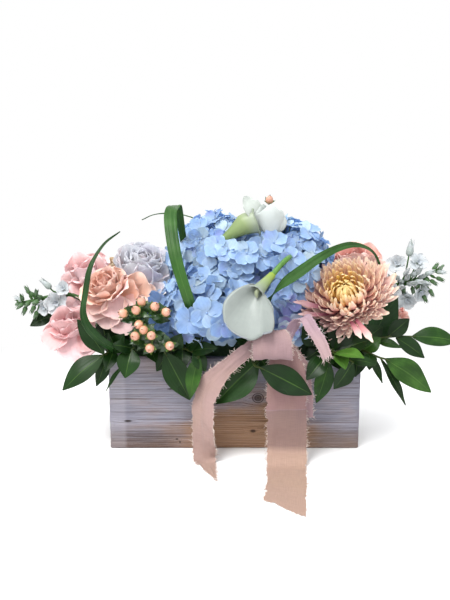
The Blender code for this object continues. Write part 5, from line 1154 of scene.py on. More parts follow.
def headed_stem(piece, path, radius, n=16):
    run = np.vstack([smooth_path(path[:-1], n), [path[-1]]])
    tube(piece, run, radius, 9, green=1.0)


p = Piece("rose_coral_petals")
rose(p, (160, 32, 220), (0.0, -0.45, 0.88), 32, 53, 20, ruffle=0.05, lip=0.9, open_=58, waves=2.0, width=1.25, tone_gain=0.8)
# a tone in a petal's own numbers is painted shade, towards the deep colour
lay(p, [((160, 30, 200), (140, 24, 244), 46, (-0.2, -0.9, 0.3), 0.7, 0.7, 0.7, dict(ruffle=0.04, tone=0.5)),
        ((164, 30, 200), (176, 24, 246), 44, (0.1, -0.9, 0.3), 0.7, 0.7, 0.7, dict(ruffle=0.04, tone=0.25)),
        ((166, 26, 200), (197, 16, 220), 40, (0.4, -0.85, 0.3), 0.6, 0.7, 0.6, dict(ruffle=0.04)),
        ((156, 22, 202), (134, 8, 226), 40, (-0.3, -0.8, 0.4), 0.6, 0.7, 0.6, dict(ruffle=0.04)),
        ((158, 20, 204), (152, 0, 232), 40, (0.1, 0.9, 0.3), 0.5, 0.8, 0.9, dict(ruffle=0.04, rnd=0.5)),
        ((166, 20, 204), (178, 2, 228), 38, (-0.2, 0.9, 0.3), 0.5, 0.8, 0.9, dict(ruffle=0.04, rnd=0.3)),
        ((168, 22, 202), (190, 8, 200), 34, (0.3, -0.8, 0.4), 0.3, 0.6, 0.5, dict(ruffle=0.03))], seed=530)
headed_stem(p, [(158, 32, 206), (154, 31, 180), (142, 26, 158), (132, 23, 147), (116, 18, 112)], 2.5)
p.finish(LOOKS["coral"], ["rose_coral"])

p = Piece("rosebud_coral_petals")
rose(p, BUD, (0.55, -0.55, 0.62), 20, 59, 14, ruffle=0.03, lip=0.5, open_=44, waves=1.4, width=0.95, cup=1.25, detail=(11, 11))
headed_stem(p, [(204, 19, 152), (180, 15, 142), (160, 10, 134), (144, 7, 130), (122, 3, 122)], 2.2)
p.finish(LOOKS["coral"], ["rosebud_coral"])

p = Piece("rose_rear_petals")
rose(p, REAR, (0.15, 0.80, 0.58), 34, 61, 30, ruffle=0.05, lip=0.8, open_=78, waves=2.0)
headed_stem(p, [(51, 58, 178), (49, 49, 162), (47, 41, 152), (46, 37, 147), (42, 26, 110)], 2.5)
p.finish(LOOKS["pink"], ["rose_rear"])

# the carnation: many narrow crimped petals
p = Piece("carnation_cream_petals")
rose(p, CREAM, (-0.15, -0.25, 0.95), 25, 67, 40, ruffle=0.10, crimp=0.045, lip=0.6, open_=84, waves=3.4, width=0.82, cup=0.8, detail=(10, 13), shape=CLAW, tone_gain=0.5)
headed_stem(p, [(-156, 44, 198), (-150, 40, 178), (-138, 35, 158), (-130, 31, 147), (-118, 26, 114)], 2.0)
p.finish(LOOKS["cream"], ["carnation_cream"])

# the peony: broad rounded petals closed over each other in a pale ball
p = Piece("peony_petals")
rose(p, BALL, (0.05, -0.62, 0.78), 34, 71, 34, ruffle=0.035, lip=0.05, open_=64, waves=2.4, width=1.14, cup=1.0, tone_gain=0.12)
lay(p, [((-118, 0, 196), (-134, -4, 246), 46, (-0.2, -0.9, 0.3), 0.9, 0.9, 0.1, dict(ruffle=0.04)),
        ((-114, 0, 196), (-104, -4, 247), 46, (0.1, -0.9, 0.3), 0.9, 0.9, 0.1, dict(ruffle=0.04)),
        ((-112, -6, 196), (-86, -14, 222), 46, (0.5, -0.8, 0.3), 0.8, 0.9, 0.1, dict(ruffle=0.03)),
        ((-120, -6, 196), (-145, -14, 218), 44, (-0.5, -0.8, 0.3), 0.8, 0.9, 0.1, dict(ruffle=0.03)),
        ((-116, -16, 192), (-128, -36, 224), 42, (0.1, 0.9, 0.3), 0.9, 1.0, 0.3, dict(ruffle=0.05, rnd=0.3)),
        ((-112, -16, 190), (-104, -36, 218), 44, (-0.1, 0.9, 0.3), 0.9, 1.0, 0.3, dict(ruffle=0.05, rnd=0.6)),
        ((-110, -10, 192), (-94, -26, 192), 40, (0.3, -0.6, 0.6), 0.5, 0.8, 0.2, dict(ruffle=0.03, rnd=0.5)),
        ((-112, -14, 196), (-100, -32, 176), 38, (0.1, -0.8, 0.5), 0.4, 0.7, 0.2, dict(ruffle=0.03, rnd=0.2)),
        ((-106, -26, 200), (-94, -46, 186), 34, (0.2, -0.9, 0.3), 0.5, 0.7, 0.2, dict(ruffle=0.03, rnd=0.125)),
        ((-112, -30, 196), (-106, -50, 182), 34, (-0.1, -0.9, 0.3), 0.5, 0.7, 0.2, dict(ruffle=0.03, rnd=0.5)),
        ((-110, -22, 206), (-122, -46, 212), 34, (-0.1, -0.9, 0.3), 0.7, 0.8, 0.2, dict(ruffle=0.03, rnd=0.4)),
        ((-104, -22, 206), (-98, -44, 214), 36, (0.1, -0.9, 0.3), 0.7, 0.8, 0.2, dict(ruffle=0.03, rnd=0.6))], seed=710)
p.finish(LOOKS["peony"], ["peony_bloom"])


# ------------------------------------------------------------------ calla lilies
def spathe(piece, base, throat, r0, r1, rim, nu=84, nv=34, roll=2.4, roll_turn=2.6, seed=0, inset=2.2, fall=0.45, tone=0.0):
    """The calla's funnel: a sheet rolled about the line from base to throat, widening from r0 to r1,
    flaring out to the rim and rolled back along its edge."""
    b, t = pt(*base), pt(*throat)
    a = unit(t - b)
    rim = np.asarray(rim, float)
    rim = rim + unit(rim.mean(0) - rim) * inset
    d = rim[0] - t
    d = unit(d - a * float(d @ a))
    e = np.cross(a, d)
    ang = np.arctan2((rim - t) @ e, (rim - t) @ d) % (TAU - 1e-4)
    rim = rim[np.argsort(ang)]
    n = len(rim)
    edge = smooth_path(np.vstack([rim] * 3), 3 * n * 24 - 23)[n * 24 : 2 * n * 24 + 1]
    f = np.linspace(0, 1, nu)
    p2 = edge[np.round(f * (len(edge) - 1)).astype(int)]
    # each line of the funnel leaves the throat in the direction of its own point of the edge
    turn = np.unwrap(np.arctan2((p2 - t) @ e, (p2 - t) @ d))
    turn[-1] = turn[0] + TAU
    turn = turn * 0.9 + (turn[0] + TAU * f) * 0.1
    ring = d * np.cos(turn)[:, None] + e * np.sin(turn)[:, None]
    p0 = t + ring * r1
    reach = np.linalg.norm(p2 - p0, axis=1, keepdims=True)
    p1 = p0 + a * fall * reach + ring * 1.5
    rows = []
    n1 = nv // 3
    for k in np.linspace(0, 1, n1, endpoint=False):
        rows.append(b + (t - b) * k + ring * (r0 + (r1 - r0) * k**1.4))
    for k in np.linspace(0, 1, nv - n1):
        rows.append(p0 * (1 - k) ** 2 + p1 * 2 * k * (1 - k) + p2 * k * k)
    # the edge rolls outwards and back
    out = unit(p2 - p1)
    inner = unit(np.cross(np.gradient(p2, axis=0), out))
    centre = p2.mean(0)
    flip = np.sign(dot(inner, t - centre))
    inner = inner * np.where(flip == 0, 1, flip)  # now points back towards the stem
    r_ = roll * (1 + 0.35 * np.sin(TAU * f * 2 + seed))[:, None] * np.clip(reach / 14, 0.35, 1.2)
    for w in np.linspace(0, roll_turn, 8)[1:]:
        rows.append(p2 + out * r_ * math.sin(w) + inner * r_ * (1 - math.cos(w)))
    P = np.stack(rows)  # rows, around
    P = P + unit(P - t) * ((noise3(P, 14.0, seed) - 0.5) * np.linspace(0, 1.4, len(rows))[:, None])[..., None]
    P[:, -1] = P[:, 0]
    s = np.linspace(0, 1, len(rows))[:, None] * np.ones((1, nu))
    shells(piece, P, 0.9, 0.45, u=np.clip(s * 1.35, 0, 1), v=np.broadcast_to(np.linspace(-1, 1, nu)[None], s.shape), rnd=0.6, tone=tone)
    return a


def calla(node, base, throat, r0, r1, rim, tip, stem_path, stem_r, tongue=(), look="calla", **extra):
    piece = Piece(node + "_spathe_petal")
    a = spathe(piece, base, throat, r0, r1, rim, **extra)
    b, t = pt(*base), pt(*throat)
    # the spadix, a blunt finger in the throat
    end = pt(*tip)
    path = smooth_path([b + a * 3, (b + t) / 2, t, end], 14)
    rr = np.array([2.0, 2.6, 2.9, 3.0, 3.0, 3.0, 3.0, 2.9, 2.8, 2.6, 2.4, 2.1, 1.5, 0.5])
    tube(piece, path, rr, 10, green=0.0, tone=0.9, rnd=0.4, side=1.0)
    if tongue:
        lay(piece, tongue, 15, 13, 3, ([0, 0.2, 0.45, 0.7, 0.88, 1], [0.7, 0.9, 1.0, 1.0, 0.86, 0.6]), ruffle=0.01, thick=0.8, rnd=0.6, tone=0.0, u=1.0)
    piece.finish(LOOKS[look], [node + "_spathe"], sharp=70)
    stem = Piece(node + "_stalk")
    run = np.vstack([smooth_path(stem_path[:-1], 44), [stem_path[-1]]])
    tube(stem, run, along(stem_r, np.linspace(0, 1, len(run))), 14)
    stem.finish(LOOKS["calla_stem"], [node + "_stem"])


calla("calla_front", (42, -90, 219), (24, -109, 203), 4.0, 7.6,
      [(13, -108, 212), (-5, -115, 202), (-13, -121, 189), (-11, -125, 168), (5, -128, 155), (18, -129, 153), (30, -128, 159), (42, -124, 164), (43, -118, 182), (36, -111, 197), (25, -106, 210)],
      (24, -111, 196),
      [(23, -107, 202), (42, -90, 219), (52, -82, 229), (61, -74, 236), (66, -56, 234), (66, -38, 214), (58, -22, 180), (50, -15, 147), (45, -12, 110)],
      [1.8, 3.2, 3.2, 3.0, 3.0, 3.0, 3.2, 3.2], seed=1, roll=2.0, fall=0.12)
# tone 0.72 on this funnel and 0.26 on its tongue draw them towards the darker deep green: painted shade
calla("calla_top_left", (-13, -48, 256), (10, -44, 272), 4.6, 12.0,
      [(27, -38, 290), (21, -46, 291), (20, -56, 287), (25, -60, 276), (28, -52, 264), (30, -36, 261), (32, -26, 272), (31, -28, 284)],
      (19, -42, 277),
      [(10, -44, 272), (-13, -48, 256), (-19, -42, 248), (-24, -32, 234), (-29, -18, 205), (-33, -6, 170), (-35, -3, 147), (-36, -1, 110)],
      [1.8, 4.2, 3.4, 3.2, 3.2, 3.2], seed=2, roll=1.6, fall=0.35, look="calla_top", tone=0.72,
      tongue=[((30, -44, 276), (12, -52, 306), 23, (0.25, -0.9, 0.1), -0.9, 0.9, -0.7, dict(tone=0.26))])


def closed_calla(node, shield, stem_path, stem_r):
    """A calla seen on its back: broad, folded over itself, with its throat turned away."""
    piece = Piece(node + "_spathe_petal")
    lay(piece, shield, 22, 19, 5, ([0, 0.12, 0.3, 0.5, 0.72, 0.88, 1], [0.30, 0.62, 0.92, 1.0, 0.94, 0.74, 0.42]), ruffle=0.012, waves=1.2, thick=0.9, rnd=0.6, tone=0.0)
    tube(piece, smooth_path([stem_path[0], pt(*stem_path[0]) * 0.5 + pt(*shield[0][0]) * 0.5, shield[0][0]], 8), [3.0, 3.0, 2.4], 10, tone=0.0, u=0.05, rnd=0.4, side=1.0)
    piece.finish(LOOKS["calla_top"], [node + "_spathe"], sharp=70)
    stem = Piece(node + "_stalk")
    run = np.vstack([smooth_path(stem_path[:-1], 44), [stem_path[-1]]])
    tube(stem, run, along(stem_r, np.linspace(0, 1, len(run))), 14)
    stem.finish(LOOKS["calla_stem"], [node + "_stem"])


closed_calla("calla_top_right",
             [((42, -46, 260), (42, -58, 298), 40, (0.0, 1.0, -0.2), 0.5, 1.1, -0.2, dict(u=0.9)),
              ((39, -42, 264), (33, -54, 297), 26, (-0.3, 0.9, 0.0), 0.4, 0.9, 0.4, dict(u=0.8)),
              ((44, -42, 262), (55, -50, 290), 26, (0.3, 0.9, 0.0), 0.4, 0.9, 0.2, dict(u=0.8))],
             [(41, -45, 265), (34, -36, 254), (31, -26, 242), (29, -14, 225), (28, 2, 190), (24, 12, 160), (23, 13, 147), (21, 14, 110)],
             [1.8, 3.2, 3.2, 3.2, 3.2, 3.2])


# ------------------------------------------------------------------ larkspur
def floret5(piece, C, axis, R, seed, bud=False):
    """Open larkspur florets: five rounded petals round a tuft, with a short spur behind."""
    r = rng_for(seed)
    X0, Y0, A = frame_of(pt(*axis))
    C = pt(*C)
    n = 5
    az = np.arange(n) * TAU / n + r.uniform(0, 6) + r.normal(size=n) * 0.1
    rad = X0 * np.cos(az)[:, None] + Y0 * np.sin(az)[:, None]
    f = np.radians(r.uniform(58, 86, n))
    Y = rad * np.sin(f)[:, None] + A * np.cos(f)[:, None]
    Z = -rad * np.cos(f)[:, None] + A * np.sin(f)[:, None]
    petals(piece, C - A * R * 0.35 + rad * 0.8, np.cross(Y, Z), Y, R * r.uniform(0.95, 1.12, n), R * r.uniform(0.98, 1.15, n), 9, 8, ROUND, th0=0.15,
           bend=r.uniform(-0.5, 0.4, n), cup=r.uniform(0.4, 0.8, n), opened=0.4, ruffle=0.05, waves=1.6, tip=0.12, notch=0.02, thick=0.4, seed=seed, rnd=r.random(n), tone=0.0)
    n = 4
    az = np.arange(n) * TAU / n + r.uniform(0, 6)
    rad = X0 * np.cos(az)[:, None] + Y0 * np.sin(az)[:, None]
    f = 0.5
    Y = rad * math.sin(f) + A * math.cos(f)
    petals(piece, C - A * R * 0.25, np.cross(Y, -rad * math.cos(f) + A * math.sin(f)), Y, R * 0.5, R * 0.4, 7, 6, FAN, bend=-0.4, cup=0.9, ruffle=0.05, notch=0.08, thick=0.4,
           seed=seed + 1, tone=0.35)
    back = C - A * R * 0.35
    tube(piece, smooth_path([back, back - A * R * 0.5 + pt(0, 0, 1) * 1.0, back - A * R * 0.95 + pt(0, 0, 1) * 3.0], 6), [1.7, 1.3, 0.5], 6, tone=0.3, rnd=0.5)


def larkspur(node, spine, r, heads, opens, seed):
    """heads: (foot, centre, radii); opens says which ones are open florets, and which way they look."""
    piece = Piece(node + "_spike")
    run = np.vstack([smooth_path(spine[:-1], 30), [spine[-1]]])
    tube(piece, run, np.interp(np.linspace(0, 1, len(run)), [0, 0.3, 1], [1.5, 2.4, 2.9]), 8, green=1.0)
    g = rng_for(seed)
    for k, (foot, centre, radii) in enumerate(heads):
        f, c = pt(*foot), pt(*centre)
        R = max(radii)
        axis = unit(c - f)
        if k in opens:
            look = unit(pt(*opens[k]) + g.normal(size=3) * 0.08)
            back = c - look * R * 0.35
            tube(piece, smooth_path([f, (f + back) / 2 + pt(0, -1, -1), back], 6), [0.9, 0.8], 6, green=1.0)
            floret5(piece, c, look, R * 1.12, seed + 10 * k)
            extra = [(look, 2.2)]
        else:
            tube(piece, smooth_path([f, (f + c) / 2 + pt(0, -0.5, -1), c - axis * radii[2] * 0.6], 6), [1.1, 0.9], 6, green=1.0)
            small = R < 6.5
            balls(piece, c, (radii[0] * 0.56, radii[1] * 0.56, radii[2] * 0.95), axis, 8, 9, lump=0.03, seed=seed + k, profile=[0, 0.55, 0.9, 1, 0.85, 0.5, 0.22, 0.1, 0],
                  tone=0.1, green=0.95 if small else 0.3, rnd=g.random())
            for m in range(3):  # closed petals folding over the bud
                az = m * TAU / 3 + g.uniform(0, 1)
                x0, y0, A = frame_of(axis)
                rad = x0 * math.cos(az) + y0 * math.sin(az)
                Y = unit(A + rad * 0.35)
                petals(piece, c - A * radii[2] * 0.85 + rad * 0.8, np.cross(Y, unit(A * 0.35 - rad)), Y, radii[2] * 2.0, radii[0] * 1.1, 7, 6, DROP, th0=-0.1, bend=0.75, cup=1.0,
                       thick=0.4, seed=seed + 3 * k + m, tone=0.1, green=0.85 if small else 0.1)
        # a small bract where each stalk leaves the stem
        d = unit(c - f + pt(0, -3, -2))
        petals(piece, f, np.cross(d, pt(0, -1, 0.2)), d, 12, 4.0, 6, 4, DROP, bend=-0.3, cup=0.5, thick=0.4, green=1.0, seed=seed + 70 + k)
    # tiny closing buds at the tip
    tip, d = pt(*spine[0]), unit(pt(*spine[0]) - pt(*spine[1]))
    for m in range(5):
        off = d * (2 + 1.5 * m) + g.normal(size=3) * 1.6
        balls(piece, tip + off * 0.6, (1.8, 1.8, 2.9), d + g.normal(size=3) * 0.4, 5, 7, green=0.8, rnd=g.random())
    return piece.finish(LOOKS["larkspur"], [node])


larkspur("larkspur_right", [(256, -12, 216), (243, -12, 209), (227, -12, 202), (200, -14, 195), (180, -16, 187), (163, -4, 172), (144, 8, 152), (136, 11, 147), (112, 12, 116)], 2.0,
         [((196, -14.5, 193.5), (203, -13, 223), (12, 12, 12)), ((212, -13, 198.5), (219, -12, 242), (8.5, 8.5, 11)),
          ((216, -13, 199.5), (230, -14, 225), (12, 12, 10)), ((204, -14, 196), (217, -18, 177), (12, 12, 10)),
          ((222, -12, 201), (234, -16, 186), (11, 10, 10)), ((192, -15, 192), (204, -8, 168), (10, 10, 10)),
          ((238, -12, 207), (250, -14, 199), (5, 5, 6)), ((250, -12, 213), (259, -12, 212), (5.5, 5.5, 7)),
          ((226, -12, 202), (243, -18, 212), (5.5, 5.5, 7)), ((206, -14, 196), (202, -24, 206), (5, 5, 6.5)), ((186, -16, 190), (194, -26, 190), (10, 10, 9)),
          ((208, -14, 197), (214, -22, 207), (5, 5, 7)), ((236, -12, 206), (247, -16, 186), (5, 5, 6)), ((244, -12, 209), (258, -14, 203), (5, 5, 6)), ((246, -12, 211), (251, -14, 219), (5, 5, 6)),
          ((228, -12, 203), (240, -14, 178), (5, 5, 6)), ((232, -12, 204), (228, -22, 196), (5, 5, 6)), ((222, -12, 200), (222, -22, 190), (5, 5, 6)), ((212, -12, 198), (210, -24, 190), (5, 5, 6)),
          ((238, -12, 207), (240, -20, 200), (5, 5, 6)), ((206, -14, 196), (212, -26, 214), (5.5, 5.5, 7)), ((218, -13, 200), (222, -26, 212), (5.5, 5.5, 7)), ((226, -12, 202), (232, -24, 208), (5.5, 5.5, 7)),
          ((214, -13, 199), (206, -26, 202), (5, 5, 7)), ((200, -14, 195), (192, -24, 206), (5, 5, 7)), ((230, -12, 203), (236, -22, 192), (5, 5, 7)), ((198, -14, 194), (198, -26, 186), (5, 5, 7)), ((210, -14, 197), (218, -30, 200), (6, 6, 9)), ((220, -13, 200), (228, -28, 202), (6, 6, 9)),
          ((228, -12, 202), (236, -28, 200), (6, 6, 8)), ((204, -14, 196), (206, -30, 196), (6, 6, 8)), ((216, -13, 199), (212, -30, 208), (6, 6, 8)), ((224, -12, 201), (226, -30, 216), (6, 6, 8))],
         {0: (-0.3, -0.8, 0.5), 2: (0.2, -0.9, 0.4), 3: (-0.2, -0.9, -0.3), 4: (0.4, -0.9, -0.2), 5: (0.0, -0.8, -0.5), 10: (-0.3, -0.9, 0.1)}, 81)
larkspur("larkspur_left", [(-266, -25, 175), (-250, -24, 178), (-232, -23, 182), (-214, -24, 185), (-198, -25, 184), (-172, -24, 168), (-150, -14, 152), (-142, -10, 146), (-116, -4, 120)], 2.0,
         [((-206, -25, 185), (-219, -34, 177), (14, 14, 12)), ((-218, -24, 184.5), (-233, -25, 199), (7.5, 7.5, 9)),
          ((-226, -24, 183), (-236, -30, 170), (10, 10, 9)), ((-242, -24, 180), (-253, -24, 187), (5.5, 5.5, 6)),
          ((-244, -24, 179), (-250, -28, 167), (5.5, 5.5, 6)), ((-256, -24, 177), (-261, -26, 165), (5.5, 5.5, 6)),
          ((-262, -25, 176), (-268, -25, 180), (5.5, 5.5, 6.5)), ((-248, -24, 179), (-244, -30, 189), (5, 5, 6)), ((-234, -24, 182), (-245, -31, 177), (5.5, 5.5, 6)),
          ((-252, -24, 178), (-256, -31, 174), (5.5, 5.5, 6)), ((-258, -24, 177), (-265, -30, 172), (5, 5, 6)), ((-240, -24, 180), (-247, -26, 160), (5, 5, 6)),
          ((-262, -25, 176), (-262, -30, 183), (5, 5, 6)), ((-250, -24, 178), (-256, -26, 192), (4.5, 4.5, 6)), ((-236, -24, 181), (-240, -32, 184), (5, 5, 6)), ((-210, -25, 185), (-210, -34, 195), (9, 9, 8))],
         {0: (-0.1, -1.0, 0.1), 2: (-0.4, -0.9, 0.0), 15: (0.0, -0.9, 0.5)}, 91)


# ------------------------------------------------------------------ hypericum
BERRIES_UP = [(-128, -97, 176), (-113, -98, 180), (-107, -92, 189), (-91, -96, 184), (-78, -99, 178), (-110, -99, 163)]
BERRIES_LOW = [(-114, -104, 151), (-104, -103, 158), (-95, -106, 152), (-97, -106, 137), (-74, -106, 140)]


def berry(piece, C, axis, size, seed, leaves=0):
    """A plump fruit with five sepals behind it and the dry style at its tip."""
    r = rng_for(seed)
    C, A = pt(*C), unit(pt(*axis))
    rnd = r.random()
    balls(piece, C, (size * 0.92, size * 0.92, size * 1.08), A, 10, 14, profile=[0, 0.52, 0.82, 0.96, 1.0, 0.97, 0.86, 0.68, 0.42, 0.2, 0], rnd=rnd)
    tube(piece, [C + A * size * 0.98, C + A * size * 1.2, C + A * size * 1.42], [0.75, 0.5, 0.3], 6, tone=1.0)
    x0, y0, _ = frame_of(A)
    az = np.arange(5) * TAU / 5 + r.uniform(0, 1.2)
    rad = x0 * np.cos(az)[:, None] + y0 * np.sin(az)[:, None]
    Y = unit(rad + A * 0.2)
    petals(piece, C - A * size * 0.95 + rad * 0.6, np.cross(Y, A - rad * 0.2), Y, size * 1.75, size * 1.15, 7, 5, DROP, th0=0.1, bend=0.75, cup=0.4, thick=0.4, green=1.0,
           seed=seed + 1, rnd=0.55 + 0.45 * r.random(5))
    if leaves:
        n = leaves
        az = np.arange(n) * TAU / n + r.uniform(0, 1.2)
        rad = x0 * np.cos(az)[:, None] + y0 * np.sin(az)[:, None]
        Y = unit(rad - A * 0.15 + pt(0, 0, 0.15))
        petals(piece, C - A * size * 1.5 + rad * 1.0, np.cross(Y, A + rad * 0.15), Y, size * r.uniform(2.1, 2.7, n), size * r.uniform(1.2, 1.5, n), 7, 5, DROP, th0=0.1, bend=-0.35, cup=0.4, thick=0.4,
               green=1.0, seed=seed + 2, rnd=0.25 * r.random(n))


p = Piece("hypericum_left_fruit")
run = np.vstack([smooth_path([(-103, -91, 171), (-100, -86, 158), (-95, -70, 150), (-90, -55, 144)], 20), [(-84, -34, 120)]])
tube(p, run, 1.7, 8, green=1.0, rnd=0.3)
for foot, bunch, s0 in (((-103, -90.5, 170), BERRIES_UP, 1), ((-95, -70, 150), BERRIES_LOW, 31)):
    for k, b in enumerate(bunch):
        f, c = pt(*foot), pt(*b)
        look = unit(unit(c - f) + pt(0, -0.85, 0.30))
        back = c - look * 5.6
        tube(p, smooth_path([f, (f + back) / 2 + pt(0, -2, -1), back], 8), [1.1, 0.8], 6, green=1.0, rnd=0.4)
        berry(p, c, look, 5.6, s0 + 3 * k, 3)
# the shrub's own small leaves make a green ground behind the fruit; their low rnd gives them the darkest greens, partly
# their own colour and partly painted shade of the deep gap there
g = rng_for(57)
for foot, turns, reach in (((-104, -88, 172), (-14, 14, 40, 66, 92, 118, 146, 172, 196, 222), (30, 27, 22, 18, 18, 20, 24, 30, 30, 22)),
                           ((-97, -92, 148), (-20, -48, -76, -104, -132, -160, 170, 142, 16), (28, 25, 22, 20, 22, 25, 27, 24, 20))):
    for deg, far in zip(turns, reach):
        a_ = math.radians(deg)
        away = pt(math.cos(a_), 0, math.sin(a_) * 0.9)
        far = far * g.uniform(0.9, 1.1)
        foot_ = pt(*foot) + away * far * 0.25 + pt(0, g.uniform(-2, 3), 0)
        lay(p, [(foot_, foot_ + away * far * 0.75 + pt(0, g.uniform(-7, -1), 0), far * g.uniform(0.42, 0.52), (away[0] * 0.2, -0.9, 0.4), -0.3, 0.5, 0.2)], 9, 7, int(deg) + 900,
            ([0, 0.15, 0.4, 0.65, 0.88, 1], [0.2, 0.62, 1.0, 0.92, 0.5, 0.08]), green=1.0, rnd=g.uniform(0.0, 0.22), thick=0.5, ruffle=0.02)
p.finish(LOOKS["berry"], ["hypericum_left"])

p = Piece("hypericum_top_fruit")
tube(p, np.vstack([smooth_path([(45, 19, 300), (45, 24, 290), (43, 33, 272), (36, 38, 240), (24, 34, 190), (16, 33, 160), (14, 33, 147)], 30), [(12, 33, 112)]]), 1.6, 8, green=1.0, rnd=0.3)
berry(p, (45, 18, 301), (0.05, -0.55, 0.8), 5.4, 77)
p.finish(LOOKS["berry"], ["hypericum_top"])


# ------------------------------------------------------------------ leaves and grass
LEAF_W = [0.10, 0.55, 0.88, 1.0, 0.95, 0.74, 0.42, 0.05]


def leaf(piece, base, tip, width, normal=(0, -1, 0.3), bend=4.0, seed=0, rows=19, cols=9, rnd=None):
    """A foliage leaf from base to tip: normal is the way its face looks and bend bows it. The blade is
    folded a little along its midrib, waves along its edges and ends in a drawn-out point."""
    r = rng_for(seed)
    b, t = pt(*base), pt(*tip)
    d = unit(t - b)
    n = pt(*normal)
    n = unit(n - d * float(n @ d))
    mid = (b + t) / 2 + n * bend
    P, dd, s, nrm, half = strip_grid([b, mid, t], [np.cross(n, d)] * 2, [max(1.2, width * k) for k in LEAF_W], rows, cols, 0.0)
    w, q = np.linspace(-1, 1, cols)[None], np.linspace(0, 1, rows)[:, None]
    size = float(np.linalg.norm(t - b))
    lift = half[:, None] * (0.16 * (np.abs(w) ** 1.3 - 0.45) - 0.035 * np.exp(-((w / 0.12) ** 2)))
    lift = lift + size * 0.012 * np.abs(w) * np.sin(TAU * (1.4 * q) + r.uniform(0, TAU) + np.sign(w) * r.uniform(0.4, 1.4)) * np.sin(math.pi * q)
    lift = lift + size * 0.010 * np.sin(TAU * 1.1 * q + r.uniform(0, TAU)) * w * np.sin(math.pi * q)
    P = P + nrm[:, None] * lift[..., None]
    P = P[:, ::-1]  # so that the face that looks along the normal is the front one
    shells(piece, P[None], 0.55, 0.5, rnd=r.random() if rnd is None else rnd)


def twig_tube(piece, path, r):
    tube(piece, path, r, 8, green=1.0, rnd=0.5)


def dense(points):
    p = np.asarray(points, float)
    return np.vstack([p[:-1, None] + (p[1:] - p[:-1])[:, None] * (np.arange(8) / 8)[None, :, None]][0].reshape(-1, 3).tolist() + [p[-1].tolist()])


def sprig(node, runs, leaves, r=1.6, extra=(), look="leaf", tones=None, seed=0):
    piece = Piece(node + "_leaves")
    n0 = len(runs[0]) + 2
    main = np.vstack([smooth_path(runs[0][:-1], n0 * 3), [runs[0][-1]]])
    twig_tube(piece, main, np.linspace(1.15, r, len(main)))
    main = dense(main)
    twig = [main]
    for run in runs[1:]:
        start = main[np.argmin(np.linalg.norm(main - pt(*run[0]), axis=1))]
        path = smooth_path([start] + list(run[1:]), (len(run) + 1) * 3)
        twig_tube(piece, path, np.linspace(r * 0.9, 1.0, len(path)))
        twig.append(dense(path))
    twig = np.vstack(twig)
    for k, (b, t, w, n, bend) in enumerate(list(leaves) + list(extra)):
        b_, t_ = pt(*b), pt(*t)
        d = unit(t_ - b_)
        near = twig[np.argmin(np.linalg.norm(twig - b_, axis=1))]
        n_ = pt(*n)
        n_ = unit(n_ - d * float(n_ @ d))
        inside = b_ + ((b_ + t_) / 2 + n_ * bend - b_) * 0.16 + n_ * bend * 0.14
        stalk = [near, inside] if np.linalg.norm(near - b_) < 3 else [near, near * 0.4 + b_ * 0.6 + pt(0, 0, 1.0), b_, inside]
        twig_tube(piece, smooth_path(stalk, 7), [1.1, 0.8, 0.55])
        leaf(piece, b, t, w, n, bend, seed * 31 + k, rnd=None if tones is None else tones[k % len(tones)])
    return piece.finish(LOOKS[look], [node], sharp=60)


